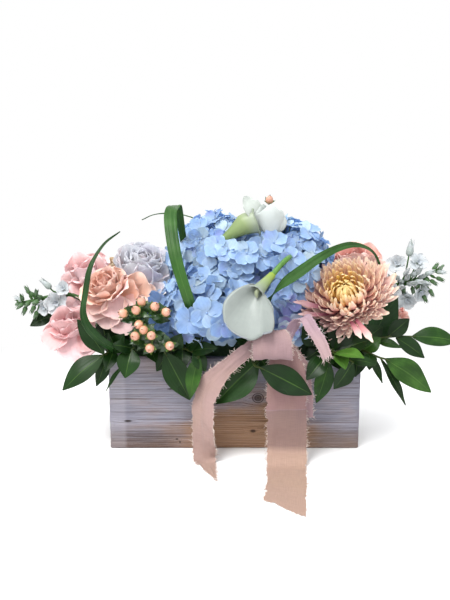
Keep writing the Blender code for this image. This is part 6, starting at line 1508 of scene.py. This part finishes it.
SPRIGS = {
    "ruscus_left": (
        [[(-155, -79, 122), (-146, -68, 126), (-138, -58, 126), (-118, -36, 120)]],
        [((-155, -79, 122), (-200, -97, 85), 30, (-0.2, -0.8, 0.6), 5),
         ((-151, -76, 122), (-163, -85, 86), 17, (0.5, -0.8, 0.2), 3),
         ((-154, -80, 124), (-181, -92, 168), 23, (-0.1, -0.95, 0.2), -3)],
        [((-146, -70, 124), (-128, -88, 150), 20, (0.1, -0.9, 0.4), 3), ((-150, -74, 124), (-146, -92, 152), 19, (-0.1, -0.9, 0.3), 3),
         ((-140, -60, 126), (-170, -70, 132), 20, (-0.2, -0.5, 0.85), 4), ((-138, -58, 127), (-160, -52, 160), 20, (-0.3, -0.8, 0.4), 3),
         ((-144, -66, 125), (-150, -92, 106), 17, (0.1, -0.8, 0.5), 3),
         ((-150, -66, 124), (-160, -58, 162), 27, (0.0, -0.9, 0.3), 3), ((-142, -60, 126), (-136, -54, 162), 27, (0.1, -0.9, 0.3), 3)]),
    "ruscus_front_left": (
        [[(-127, -89, 117), (-121, -82, 130), (-108, -66, 131), (-99, -56, 129), (-90, -36, 122)]],
        [((-121, -83, 131), (-127, -98, 100), 27, (0.15, -0.9, 0.5), 5),
         ((-127, -89, 116), (-152, -84, 80), 6, (-0.5, -0.6, 0.2), 3),
         ((-106, -66, 132), (-76, -90, 132), 20, (0.0, -0.6, 0.8), 4)],
        [((-112, -70, 131), (-112, -97, 132), 17, (0.1, -0.7, 0.7), 3), ((-104, -62, 130), (-92, -88, 116), 18, (0.1, -0.85, 0.5), 4),
         ((-118, -80, 130), (-142, -92, 138), 18, (-0.2, -0.8, 0.5), 3), ((-100, -58, 130), (-118, -66, 158), 18, (-0.1, -0.9, 0.3), 3),
         ((-98, -56, 129), (-84, -66, 160), 20, (0.2, -0.9, 0.3), 3)]),
    "ruscus_front_mid_left": (
        [[(-82, -84, 127), (-70, -68, 127), (-64, -55, 127), (-62, -36, 121)],
         [(-66, -60, 127), (-56, -76, 128), (-42, -86, 124)]],
        [((-82, -84, 127), (-53, -87, 70), 30, (0.1, -1, 0.2), 4),
         ((-42, -86, 124), (-52, -94, 74), 20, (-0.35, -0.9, 0.1), 4),
         ((-52, -79, 127), (-20, -92, 134), 18, (0.1, -0.8, 0.6), 3)],
        [((-76, -76, 127), (-92, -84, 104), 18, (-0.1, -0.9, 0.4), 3), ((-62, -68, 127), (-62, -86, 106), 20, (0.0, -0.9, 0.4), 3),
         ((-72, -70, 128), (-62, -88, 150), 19, (0.1, -0.9, 0.4), 3), ((-64, -58, 128), (-86, -70, 146), 19, (-0.1, -0.8, 0.5), 3),
         ((-48, -82, 126), (-34, -92, 106), 18, (0.1, -0.9, 0.4), 3), ((-58, -72, 128), (-40, -84, 144), 17, (0.1, -0.8, 0.6), 3)]),
    "ruscus_front_center": (
        [[(27, -86, 117), (24, -70, 125), (20, -55, 127), (17, -36, 121)],
         [(23, -68, 126), (19, -88, 123), (22, -112, 119), (28, -118, 118)]],
        [((27, -86, 117), (-23, -98, 69), 42, (-0.25, -0.9, 0.4), 5),
         ((28, -118, 118), (86, -122, 88), 31, (0.1, -0.95, 0.35), 4)],
        [((22, -62, 127), (-4, -80, 112), 20, (-0.1, -0.8, 0.5), 3), ((24, -70, 125), (42, -82, 100), 20, (0.2, -0.9, 0.4), 3),
         ((20, -56, 128), (0, -72, 142), 19, (-0.1, -0.8, 0.5), 3), ((21, -58, 128), (40, -74, 136), 18, (0.1, -0.8, 0.5), 3),
         ((24, -76, 121), (14, -90, 104), 19, (0.0, -0.9, 0.4), 3)]),
    "ruscus_front_right": (
        [[(137, -96, 118), (128, -89, 122), (116, -76, 126), (106, -55, 127), (100, -36, 121)],
         [(108, -62, 127), (104, -72, 134)], [(117, -78, 125), (106, -96, 127)], [(117, -79, 125), (110, -88, 117)]],
        [((106, -96, 127), (81, -109, 101), 22, (-0.2, -0.9, 0.4), 3),
         ((110, -88, 117), (95, -95, 69), 22, (0.1, -1, 0.2), 3),
         ((136, -95, 118), (116, -89, 84), 22, (0.3, -0.9, 0.3), 3),
         ((116, -84, 126), (144, -118, 129), 20, (0.1, -0.6, 0.9), 4),
         ((131, -92, 121), (163, -96, 116), 13, (0.1, -0.9, 0.5), 3),
         ((104, -72, 134), (78, -88, 159), 30, (-0.2, -0.95, 0.2), -3)],
        [((108, -60, 128), (84, -76, 116), 22, (-0.1, -0.9, 0.4), 3), ((112, -68, 127), (132, -84, 104), 22, (0.1, -0.9, 0.4), 3),
         ((106, -58, 128), (78, -64, 138), 22, (-0.1, -0.8, 0.5), 3), ((114, -72, 127), (102, -92, 110), 20, (0.0, -0.9, 0.4), 3),
         ((120, -80, 125), (126, -104, 112), 18, (0.1, -0.8, 0.6), 3), ((108, -60, 128), (128, -72, 144), 20, (0.1, -0.9, 0.4), 3),
         ((118, -70, 127), (134, -64, 162), 30, (0.0, -0.9, 0.3), 3), ((104, -58, 128), (100, -66, 164), 28, (-0.1, -0.9, 0.3), 3),
         ((124, -74, 126), (160, -72, 139), 22, (-0.1, -0.7, 0.7), 3)]),
    "ruscus_right_low": (
        [[(178, -77, 117), (170, -76, 119), (158, -68, 123), (146, -55, 126), (123, -34, 121)]],
        [((178, -77, 117), (231, -86, 79), 32, (0.2, -0.85, 0.55), 6),
         ((172, -76, 118), (206, -71, 58), 11, (0.4, -0.85, 0.2), 3),
         ((160, -71, 122), (175, -79, 88), 10, (0.3, -0.9, 0.2), 2)],
        [((150, -60, 125), (142, -80, 96), 22, (0.0, -0.9, 0.4), 3), ((154, -64, 124), (174, -66, 140), 20, (0.1, -0.8, 0.5), 3),
         ((148, -58, 126), (166, -54, 108), 22, (0.3, -0.8, 0.4), 3), ((160, -70, 122), (156, -92, 108), 17, (0.0, -0.9, 0.4), 3)]),
    "ruscus_right_high": (
        [[(217, -46, 137), (193, -50, 138), (168, -52, 135), (148, -34, 128), (124, -17, 121)]],
        [((217, -46, 137), (272, -51, 132), 27, (0.1, -0.75, 0.7), 5),
         ((196, -51, 137), (230, -57, 113), 22, (0.2, -0.8, 0.5), 3),
         ((172, -54, 134), (199, -66, 128), 12, (0.1, -0.8, 0.6), 2)],
        [((186, -51, 138), (214, -40, 158), 20, (0.1, -0.9, 0.4), 3), ((158, -44, 132), (184, -30, 146), 22, (0.2, -0.8, 0.5), 3),
         ((150, -36, 129), (176, -12, 126), 24, (0.5, -0.3, 0.8), 4)]),
    "salal_right": (
        [[(168, -41, 126), (160, -28, 124), (146, -9, 121), (123, -5, 119)]],
        [((168, -41, 126), (203, -22, 182), 40, (0.25, -0.95, 0.25), -5)],
        [((156, -22, 123), (192, 6, 128), 34, (0.5, -0.2, 0.85), 6), ((150, -14, 122), (182, 30, 118), 32, (0.6, 0.3, 0.75), 6)]),
    "ruscus_rear_left": (
        [[(-230, -12, 157), (-214, 2, 154), (-184, 22, 146), (-158, 33, 134), (-144, 32, 128), (-121, 22, 121)],
         [(-148, 33, 130), (-148, 56, 128), (-152, 76, 120)]],
        [((-230, -12, 157), (-256, -22, 145), 18, (-0.2, -0.9, 0.4), 3),
         ((-188, 20, 147), (-226, 48, 140), 22, (-0.2, 0.5, 0.8), 4),
         ((-162, 34, 136), (-198, 62, 112), 26, (-0.3, 0.8, 0.6), 4),
         ((-152, 76, 120), (-174, 94, 78), 28, (-0.2, 0.9, 0.4), 4),
         ((-149, 62, 127), (-108, 84, 96), 28, (0.2, 0.9, 0.4), 4)],
        [((-206, 8, 152), (-232, 12, 136), 22, (-0.6, 0.1, 0.8), 4), ((-196, 14, 150), (-206, 6, 174), 20, (-0.7, 0.2, 0.4), 3),
         ((-172, 28, 140), (-186, 30, 112), 24, (-0.8, 0.3, 0.4), 4), ((-148, 44, 129), (-176, 62, 148), 24, (-0.3, 0.8, 0.4), 4),
         ((-149, 52, 129), (-118, 70, 140), 26, (0.1, 0.8, 0.6), 4), ((-150, 68, 124), (-136, 92, 92), 25, (0.1, 0.9, 0.4), 4),
         ((-146, 36, 130), (-168, 8, 118), 26, (-0.8, 0.0, 0.6), 4), ((-150, 70, 123), (-196, 80, 116), 24, (-0.3, 0.7, 0.6), 4),
         ((-138, 32, 127), (-166, -16, 104), 24, (-0.9, 0.0, 0.5), 5)]),
    "ruscus_rear_right": (
        [[(148, 84, 122), (120, 82, 122), (98, 70, 126), (91, 56, 127), (86, 36, 121)],
         [(93, 62, 126), (78, 76, 126), (52, 88, 119), (20, 88, 120), (-10, 86, 122)]],
        [((148, 84, 122), (202, 76, 98), 28, (0.2, 0.85, 0.5), 5),
         ((120, 82, 122), (138, 99, 72), 26, (0.1, 0.95, 0.2), 4),
         ((96, 70, 126), (98, 98, 82), 28, (0.0, 0.95, 0.4), 4),
         ((54, 87, 119), (56, 101, 68), 27, (0.0, 0.95, 0.3), 4),
         ((20, 88, 120), (14, 104, 74), 27, (-0.1, 0.95, 0.3), 4),
         ((-10, 86, 122), (-54, 100, 88), 30, (-0.2, 0.9, 0.4), 5)],
        [((110, 78, 124), (80, 98, 96), 26, (-0.1, 0.95, 0.3), 4), ((134, 84, 122), (164, 66, 138), 26, (0.2, 0.8, 0.6), 4),
         ((100, 72, 126), (118, 66, 154), 28, (0.1, 0.95, 0.2), 4), ((38, 88, 120), (28, 86, 152), 26, (0.0, 0.95, 0.3), 3),
         ((8, 88, 121), (-14, 92, 150), 26, (0.0, 0.95, 0.3), 3), ((66, 82, 122), (78, 92, 152), 26, (0.1, 0.95, 0.3), 3),
         ((-2, 87, 121), (-26, 102, 78), 27, (-0.1, 0.95, 0.3), 4), ((36, 88, 119), (38, 103, 84), 24, (0.0, 0.95, 0.3), 4),
         ((-10, 86, 122), (-60, 84, 130), 28, (-0.2, 0.8, 0.6), 4), ((122, 82, 122), (176, 94, 120), 24, (0.2, 0.8, 0.6), 4),
         ((112, 80, 123), (156, 40, 118), 28, (0.6, 0.4, 0.7), 5), ((-6, 86, 122), (-88, 92, 108), 26, (-0.1, 0.85, 0.5), 5)]),
}
# how light each leaf is, listed per sprig: partly the leaves' own tone, partly painted shade on leaves that sit deep
# under the flowers
LEAF_TONES_AND_SHADE = {"ruscus_left": [0.30, 0.1, 0.25, 0.1, 0.05, 0.05, 0.05, 0.1, 0.0, 0.0], "ruscus_front_left": [0.34, 0.3, 0.4, 0.1, 0.2, 0.05, 0.1], "ruscus_front_mid_left": [0.25, 0.6, 0.3, 0.1, 0.2],
         "ruscus_front_center": [0.42, 0.0, 0.1, 0.15], "ruscus_front_right": [0.14, 0.5, 0.25, 0.95, 0.3, 0.0, 0.0], "ruscus_right_low": [0.62, 0.2, 0.2, 0.05],
         "ruscus_right_high": [0.5, 0.12, 0.5, 0.1]}
for k, (node, (runs, leaves, extra)) in enumerate(SPRIGS.items()):
    sprig(node, runs, leaves, extra=extra, look="leaf_wide" if node == "salal_right" else "leaf", tones=LEAF_TONES_AND_SHADE.get(node), seed=k + 1)

GRASS = {
    "lily_grass_left": (
        [(-112, -36, 120), (-126, -58, 127), (-138, -80, 130), (-152, -98, 143), (-165, -106, 160), (-171, -106, 178), (-170, -98, 197), (-165, -86, 228), (-152, -70, 252), (-134, -60, 266)],
        [(0.8, -0.5, 0.3), (0.7, -0.5, 0.6), (0.6, -0.3, 0.7), (0.85, -0.3, 0.3), (0.9, -0.35, 0.0), (0.9, -0.3, -0.2)],
        [4, 8, 11, 12, 11, 9, 8, 6.5, 4, 1.2]),
    "lily_grass_loop": (
        [(-41, -34, 118), (-43, -52, 140), (-44, -74, 154), (-46, -95, 170), (-55, -109, 202), (-65, -108, 236), (-71, -94, 264), (-74, -76, 286), (-72, -60, 295), (-68, -46, 292), (-65, -32, 272), (-62, -14, 240), (-58, 4, 190), (-54, 10, 160)],
        [(1, 0, 0)] * 5 + [(1, -0.1, 0)] * 4 + [(0.75, 0.6, 0)] * 4 + [(1, 0, 0)] * 2,
        [4, 7, 10, 12.5, 13, 14, 14.5, 14.5, 13, 11, 9, 7, 5]),
    "lily_grass_right": (
        [(30, -34, 118), (30, -52, 144), (31, -70, 166), (38, -90, 190), (52, -102, 209), (72, -110, 226), (92, -112, 241), (112, -102, 250), (132, -86, 253), (150, -68, 249), (166, -48, 239), (178, -28, 222), (183, -14, 207)],
        [(1, 0, 0), (1, 0, 0.2), (0.6, 0, 0.8), (0.45, 0.0, 0.9), (0.3, 0.35, 0.85), (0.1, 0.8, 0.6), (0.4, 0.8, 0.2), (0.85, 0.5, 0.2)],
        [4, 7, 11, 13, 13, 12, 10, 8, 7, 6, 5, 3.5, 1.2]),
    "lily_grass_rear": (
        [(-6, 26, 118), (-7, 25, 150), (-14, 22, 200), (-26, 18, 246), (-42, 12, 272), (-62, 12, 281), (-84, 10, 284), (-102, 6, 282), (-116, 2, 276)],
        [(0, 1, 0), (0, 1, 0), (0, 1, 0.2), (0, 1, 0.3), (0, 1, 0.35)],
        [3, 4, 4.5, 4.5, 4.5, 4, 3.5, 2.5, 1.0]),
}
for k, (node, (ctrl, sides, widths)) in enumerate(GRASS.items()):
    piece = Piece(node + "_blade")
    a, b = 150, 13
    P, d, s, nrm, half = strip_grid(ctrl, sides, widths, a, b, 0.12, n=257)
    w = np.linspace(-1, 1, b)[None]
    q = np.linspace(0, 1, a)[:, None]
    rib = half[:, None] * (0.05 * np.cos(w * 4 * math.pi)) - 0.5 * np.exp(-((w / 0.14) ** 2)) + 0.35 * np.sin(q * 26 + w * 2 + k) * w * w
    P = P + nrm[:, None] * rib[..., None]
    shells(piece, P[None], 0.5, 0.4, rnd=[0.15, 0.66, 0.45, 0.3][k])
    piece.finish(LOOKS["grass"], [node], sharp=60)


# ------------------------------------------------------------------ ribbon bow
def torn(n, seed, reach=1.0):
    """How far a torn edge stands in or out along n rows, in mm."""
    r = rng_for(seed)
    rough = r.normal(size=n) * 0.32
    slow = np.interp(np.arange(n), np.arange(0, n + 9, 9), r.normal(size=len(np.arange(0, n + 9, 9))) * 0.45)
    nick = np.zeros(n)
    for k in r.integers(3, n - 3, max(1, n // 30)):
        nick[k - 1 : k + 2] -= r.uniform(0.6, 1.8)
    return (rough + slow + nick) * reach


def threads(piece, foot, out, ahead, up, length, seed):
    """Loose threads: foot, out (away from the cloth), ahead (along the edge), up (out of the face)."""
    r = rng_for(seed)
    K = len(foot)
    L = np.asarray(length, float)[:, None]
    a = r.normal(size=(K, 1)) * 0.55
    d = unit(out + ahead * a + up * r.normal(size=(K, 1)) * 0.22)
    bend = unit(ahead * np.sign(a) * 0.8 + up * r.normal(size=(K, 1)) * 0.6 + pt(0, 0, -0.35)) * r.uniform(0.05, 0.5, (K, 1))
    t = np.linspace(0, 1, 5)[None, :, None]
    P = foot[:, None] - d[:, None] * 0.5 + d[:, None] * (L[:, None] * t) + bend[:, None] * (L[:, None] * t**2)
    P[..., 2] = np.maximum(P[..., 2], 0.35)
    tube_many(piece, P, np.linspace(0.24, 0.12, 5)[None] * r.uniform(0.8, 1.3, (K, 1)), 3, tone=r.uniform(0.96, 1.0, K), rnd=r.random(K), v=0.0)


def ribbon(node, ctrl, sides, widths, a, b, seed, edge=None, shade=(0.2, 0.2), folds=(1.2, 2.0, 0.5), crumple=0.5, fringe=1.0, end_fringe=1.0,
           start_clear=0.12, extra=None, name=None, replace=True, tones=None, dark=((0, 0), (1, 0)), look="ribbon"):
    piece = Piece((name or node) + "_cloth")
    P, d, s, nrm, half = strip_grid(ctrl, sides, widths, a, b, 0.0, n=257, smooth_w=False)
    w, q = np.linspace(-1, 1, b)[None], np.linspace(0, 1, a)[:, None]
    if edge is not None:
        P = P + edge(q, w)
    amp, count, fade = folds
    r = rng_for(seed)
    ph = r.uniform(0, TAU, 4)
    gather = fade + (1 - fade) * np.exp(-q * 5.0)
    wave = np.sin(count * math.pi * w + ph[0] + 1.3 * np.sin(TAU * 0.8 * q + ph[1])) * gather
    wave = wave + 0.35 * np.sin(count * 2.1 * math.pi * w + ph[2] + 2.0 * q) * gather
    lift = amp * wave + crumple * (noise3(P, 13.0, seed) - 0.5) * 2 + crumple * 0.45 * (noise3(P, 5.0, seed + 3) - 0.5) * 2
    if extra is not None:
        lift = lift + extra(q, w)
    P = P + nrm[:, None] * lift[..., None]
    e0, e1 = torn(a, seed + 1), torn(a, seed + 2)
    side = s[:, None]
    share = np.clip((np.abs(w) - 0.84) / 0.16, 0, 1)[..., None]
    P = P + side * np.where(w[..., None] > 0, e1[:, None, None], -e0[:, None, None]) * share
    tail = torn(b, seed + 5, 1.6)
    P[-1] += d[-1] * tail[:, None]
    P[-2] += d[-2] * tail[:, None] * 0.4
    P[..., 2] = np.maximum(P[..., 2], 0.7)
    run = np.concatenate([[0], np.cumsum(np.linalg.norm(np.diff(P[:, b // 2], axis=0), axis=1))])
    u = np.broadcast_to(run[:, None], (a, b))
    v = half[:, None] * w
    # painted shade: shade and tones set the tone along the strip, darker where it lies in shade or hangs in two layers
    tone = np.clip(shade[0] + (shade[1] - shade[0]) * q, 0, 0.9)
    if tones is not None:
        tone = np.interp(q, *zip(*tones))
    # painted shade: dark sets how much darker the thin cloth is drawn where the box shows through it and, near the
    # knot, where it lies in shade; it rides in the green number
    under = np.interp(q, *zip(*dark))  # how much darker the thin cloth is with the box behind it
    shells(piece, P[None], 0.32, 0.2, u=u, v=v, tone=np.broadcast_to(tone, (a, b)), green=np.broadcast_to(under, (a, b)), rnd=0.5)
    o = piece.finish(LOOKS[look], [node] if replace else [], sharp=75)
    fr = Piece((name or node) + "_threads")
    rows = np.arange(a)
    keep = rows > a * start_clear
    K = int(keep.sum() * fringe * 0.95)
    for col, sign in ((0, -1), (-1, 1)):
        pick = r.choice(rows[keep], K)
        foot = P[pick, col] + d[pick] * r.uniform(-0.5, 0.5, (K, 1))
        threads(fr, foot, s[pick] * sign, d[pick], nrm[pick], np.abs(r.normal(size=K)) * 1.8 + 1.6, seed + 20 + col)
    if end_fringe:
        K = int(b * 1.6 * end_fringe)
        pick = r.integers(0, b, K)
        threads(fr, P[-1, pick], np.broadcast_to(d[-1], (K, 3)), np.broadcast_to(s[-1], (K, 3)), np.broadcast_to(nrm[-1], (K, 3)), np.abs(r.normal(size=K)) * 2.2 + 1.2, seed + 40)
    f = fr.finish(LOOKS[look], [])
    return o, P


W = 46.0
ribbon("ribbon_loop_front",
       [(38, -108, 158), (39, -115, 159), (40, -122, 151), (41, -125, 139), (41, -122, 129), (40, -115, 130), (38, -110.5, 139), (37, -109, 149)],
       [(1, 0, 0)] * 2, [20, 34, W - 2, W - 2, W - 3, 36, 24, 14], 100, 36, 11, shade=(0.45, 0.6), dark=[(0, 0.2), (1, 0.2)], folds=(0.9, 2.6, 0.35),
       crumple=0.35, fringe=0.7, end_fringe=0)
ribbon("ribbon_loop_right",
       [(58, -98, 143), (64, -97, 156), (71, -98, 168), (79, -101, 171), (86, -106, 161), (95, -110, 147), (104, -114, 128)],
       [(0.85, 0.35, -0.3), (0.75, 0.55, -0.1), (0.6, 0.7, 0.2), (0.7, 0.6, 0.3), (0.82, 0.42, 0.36)], [12, 16, 20, 20, 18, 17, 12], 110, 22, 12,
       shade=(0.6, 0.5), folds=(0.8, 1.6, 0.5), crumple=0.4, fringe=0.35, look="ribbon_painted_light")
ribbon("ribbon_tail_left",
       [(30, -107, 146), (12, -111, 135), (-13, -106, 112), (-32, -99, 86), (-38, -98, 57), (-38, -98, 33), (-36, -101, 12), (-33, -108, 1.6), (-28, -128, 0.9), (-22, -153, 0.9)],
       [(0.05, -0.1, 1.0), (-0.2, -0.1, 0.95), (-0.72, 0.4, 0.56), (-0.64, 0.76, 0.08), (-0.6, 0.8, 0), (-0.72, 0.68, 0.0), (-0.95, 0.2, 0), (-0.97, -0.22, 0), (-0.97, -0.23, 0)],
       [20, 17, 18, 33, 42, 38, 33, 22, 12, 2], 210, 28, 13, shade=(0.5, 0.05), dark=[(0, 0.5), (0.1, 0.3), (0.25, 0), (0.5, 0), (0.62, 0.45), (0.74, 0.45), (0.79, 0), (1, 0)], folds=(1.3, 1.8, 0.35), crumple=0.7,
       fringe=1.0)
ribbon("ribbon_tail_short",
       [(52, -96.5, 147), (56, -97, 136), (62, -98.5, 122), (66, -100, 106), (69, -100, 80), (70, -99, 51)],
       [(1, 0, 0)] * 2, [12, 22, 34, 42, 43, 43], 90, 30, 14, shade=(0.85, 0.6), folds=(1.3, 2.4, 0.35), crumple=0.6, fringe=1.0)
ribbon("ribbon_tail_right",
       [(50, -101, 150), (53, -102.5, 138), (56, -105.5, 124), (58, -107.5, 108), (59, -108, 70), (60, -107.5, 34), (60, -111, 15), (59, -121, 3.0), (57, -142, 0.9), (54, -176, 0.9), (48, -219, 0.9)],
       [(1, 0, 0), (1, 0, 0), (1, 0.02, 0), (1, 0.05, 0)], [12, 24, 36, 44, 46, 46, 46, 45, 43, 41, 40], 220, 32, 15,
       edge=lambda q, w: np.stack([0 * q * w, -15 * w * np.maximum(0, (q - 0.75) / 0.25) ** 2, 0 * q * w], -1),
       tones=[(0, 0.84), (0.412, 0.82), (0.414, 0.34), (0.56, 0.16), (0.62, 0.04), (1, 0.04)], dark=[(0, 0), (0.411, 0), (0.415, 0.88), (0.555, 1.0), (0.60, 0), (1, 0)], folds=(1.1, 1.6, 0.25), crumple=0.6, fringe=1.0)

# the knot: a short band of the same cloth drawn tight round the middle, and the pick behind it
p = Piece("ribbon_knot_wrap")
C, A = pt(34, -99, 149), unit(pt(0.35, 0.1, 1.0))
x0, y0, _ = frame_of(A, (0, -1, 0))
for k in range(3):
    n, m = 40, 12
    ang = np.linspace(0, TAU, n)
    off = (k - 1) * 3.4
    rx, ry = 8.6 - abs(k - 1) * 1.0, 8.4 - abs(k - 1) * 0.8
    P = np.empty((n, m, 3))
    for j, w in enumerate(np.linspace(-1, 1, m)):
        bulge = 1.0 + 0.10 * (1 - w * w) + 0.03 * np.sin(3 * ang + k + w * 2)
        P[:, j] = C + A * (off + w * 3.0 + 0.7 * np.sin(ang * 2 + k)[:, None]) + x0 * (ry * np.cos(ang) * bulge)[:, None] + y0 * (rx * np.sin(ang) * bulge)[:, None]
    P[-1] = P[0]
    run = np.linspace(0, 50, n)
    # the knot's wraps and core take tones 0.45 and 0.6: painted shade on the ribbon's tone scale
    shells(p, P[None], 0.8, 0.3, u=np.broadcast_to(run[:, None], (n, m)), v=np.broadcast_to(np.linspace(-3, 3, m)[None], (n, m)), tone=0.45, rnd=0.5)
balls(p, C, (6.8, 6.8, 5.6), A, 8, 14, lump=0.02, tone=0.6)
tube(p, smooth_path([(34, -97, 147), (31, -76, 137), (28, -55, 130), (25, -34, 122)], 12), 1.2, 8, tone=0.2)
p.finish(LOOKS["ribbon"], ["ribbon_knot"], sharp=70)


# ------------------------------------------------------------------ stage, light and camera
def stage():
    me = bpy.data.meshes.new("floor")
    me.from_pydata([(-6, -6, 0), (6, -6, 0), (6, 8, 0), (-6, 8, 0)], [], [(0, 1, 2, 3)])
    o = bpy.data.objects.new("floor", me)
    bpy.context.scene.collection.objects.link(o)
    # a pale floor that runs out into the white of the room
    k = Look("pale_floor")
    x, y, _ = k.split(k.place())
    far = k.math("SQRT", k.add(k.math("POWER", x, 2.0), k.math("POWER", k.mul(k.add(y, 0.05), 0.9), 2.0)))
    matt = k.node("BsdfDiffuse")
    matt.inputs["Color"].default_value = (0.93, 0.93, 0.93, 1)
    glow = k.node("Emission")
    glow.inputs["Color"].default_value = (1, 1, 1, 1)
    both = k.node("MixShader")
    k.put(both.inputs[0], k.fit(far, 0.22, 0.62, 0.0, 1.0, True))
    k.put(both.inputs[1], matt.outputs[0])
    k.put(both.inputs[2], glow.outputs[0])
    k.put(k.out.inputs["Surface"], both.outputs[0])
    me.materials.append(k.mat)
    o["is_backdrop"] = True
    world = bpy.data.worlds.new("studio")
    bpy.context.scene.world = world
    world.use_nodes = True
    # a white room, a little brighter and cooler overhead than at eye level
    t = world.node_tree
    bg = t.nodes["Background"]
    where, parts, fit, mix = (t.nodes.new("ShaderNode" + n) for n in ("TexCoord", "SeparateXYZ", "MapRange", "Mix"))
    fit.interpolation_type = "SMOOTHSTEP"
    for i, v in enumerate((0.22, 0.62, 0.0, 1.0)):
        fit.inputs[i + 1].default_value = v
    mix.data_type = "RGBA"
    mix.inputs[6].default_value = (1.0, 1.0, 1.0, 1)
    mix.inputs[7].default_value = (1.08, 1.09, 1.11, 1)
    t.links.new(where.outputs["Generated"], parts.inputs[0])
    t.links.new(parts.outputs[2], fit.inputs[0])
    t.links.new(fit.outputs[0], mix.inputs[0])
    t.links.new(mix.outputs[2], bg.inputs[0])
    bg.inputs[1].default_value = 1.0

    def area(name, place, aim, size, power, colour=(1, 1, 1)):
        l = bpy.data.lights.new(name, "AREA")
        l.shape, l.size, l.energy, l.color = "SQUARE", size, power, colour
        ob = bpy.data.objects.new(name, l)
        ob.location = place
        ob.rotation_mode = "QUATERNION"
        ob.rotation_quaternion = (Vector(aim) - Vector(place)).to_track_quat("-Z", "Y")
        bpy.context.scene.collection.objects.link(ob)

    area("key", (-0.7, -0.9, 1.9), (0, 0, 0.12), 1.1, 58.0, (1.0, 0.99, 0.975))
    area("fill", (1.5, -1.3, 1.0), (0, 0, 0.12), 1.4, 7.0, (0.96, 0.98, 1.0))
    area("front", (-0.35, -1.9, 0.75), (0, 0, 0.14), 1.5, 8.0)
    area("back", (0.2, 1.6, 1.5), (0, 0, 0.15), 1.2, 10.0)

    cam = bpy.data.cameras.new("camera")
    cam.sensor_width, cam.lens = 36.0, 40.32
    co = bpy.data.objects.new("camera", cam)
    co.location = (-0.0116, -0.8465, 0.3235)
    co.rotation_euler = (math.radians(80), 0, 0)
    bpy.context.scene.collection.objects.link(co)
    bpy.context.scene.camera = co
    bpy.context.scene.view_settings.view_transform = "Standard"


stage()

VIS_LO, VIS_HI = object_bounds()
print("SIZE", json.dumps({"cad": [list(CAD_LO), list(CAD_HI)], "visual": [list(VIS_LO), list(VIS_HI)], "triangles": TRIANGLES, "total": sum(TRIANGLES.values())}))
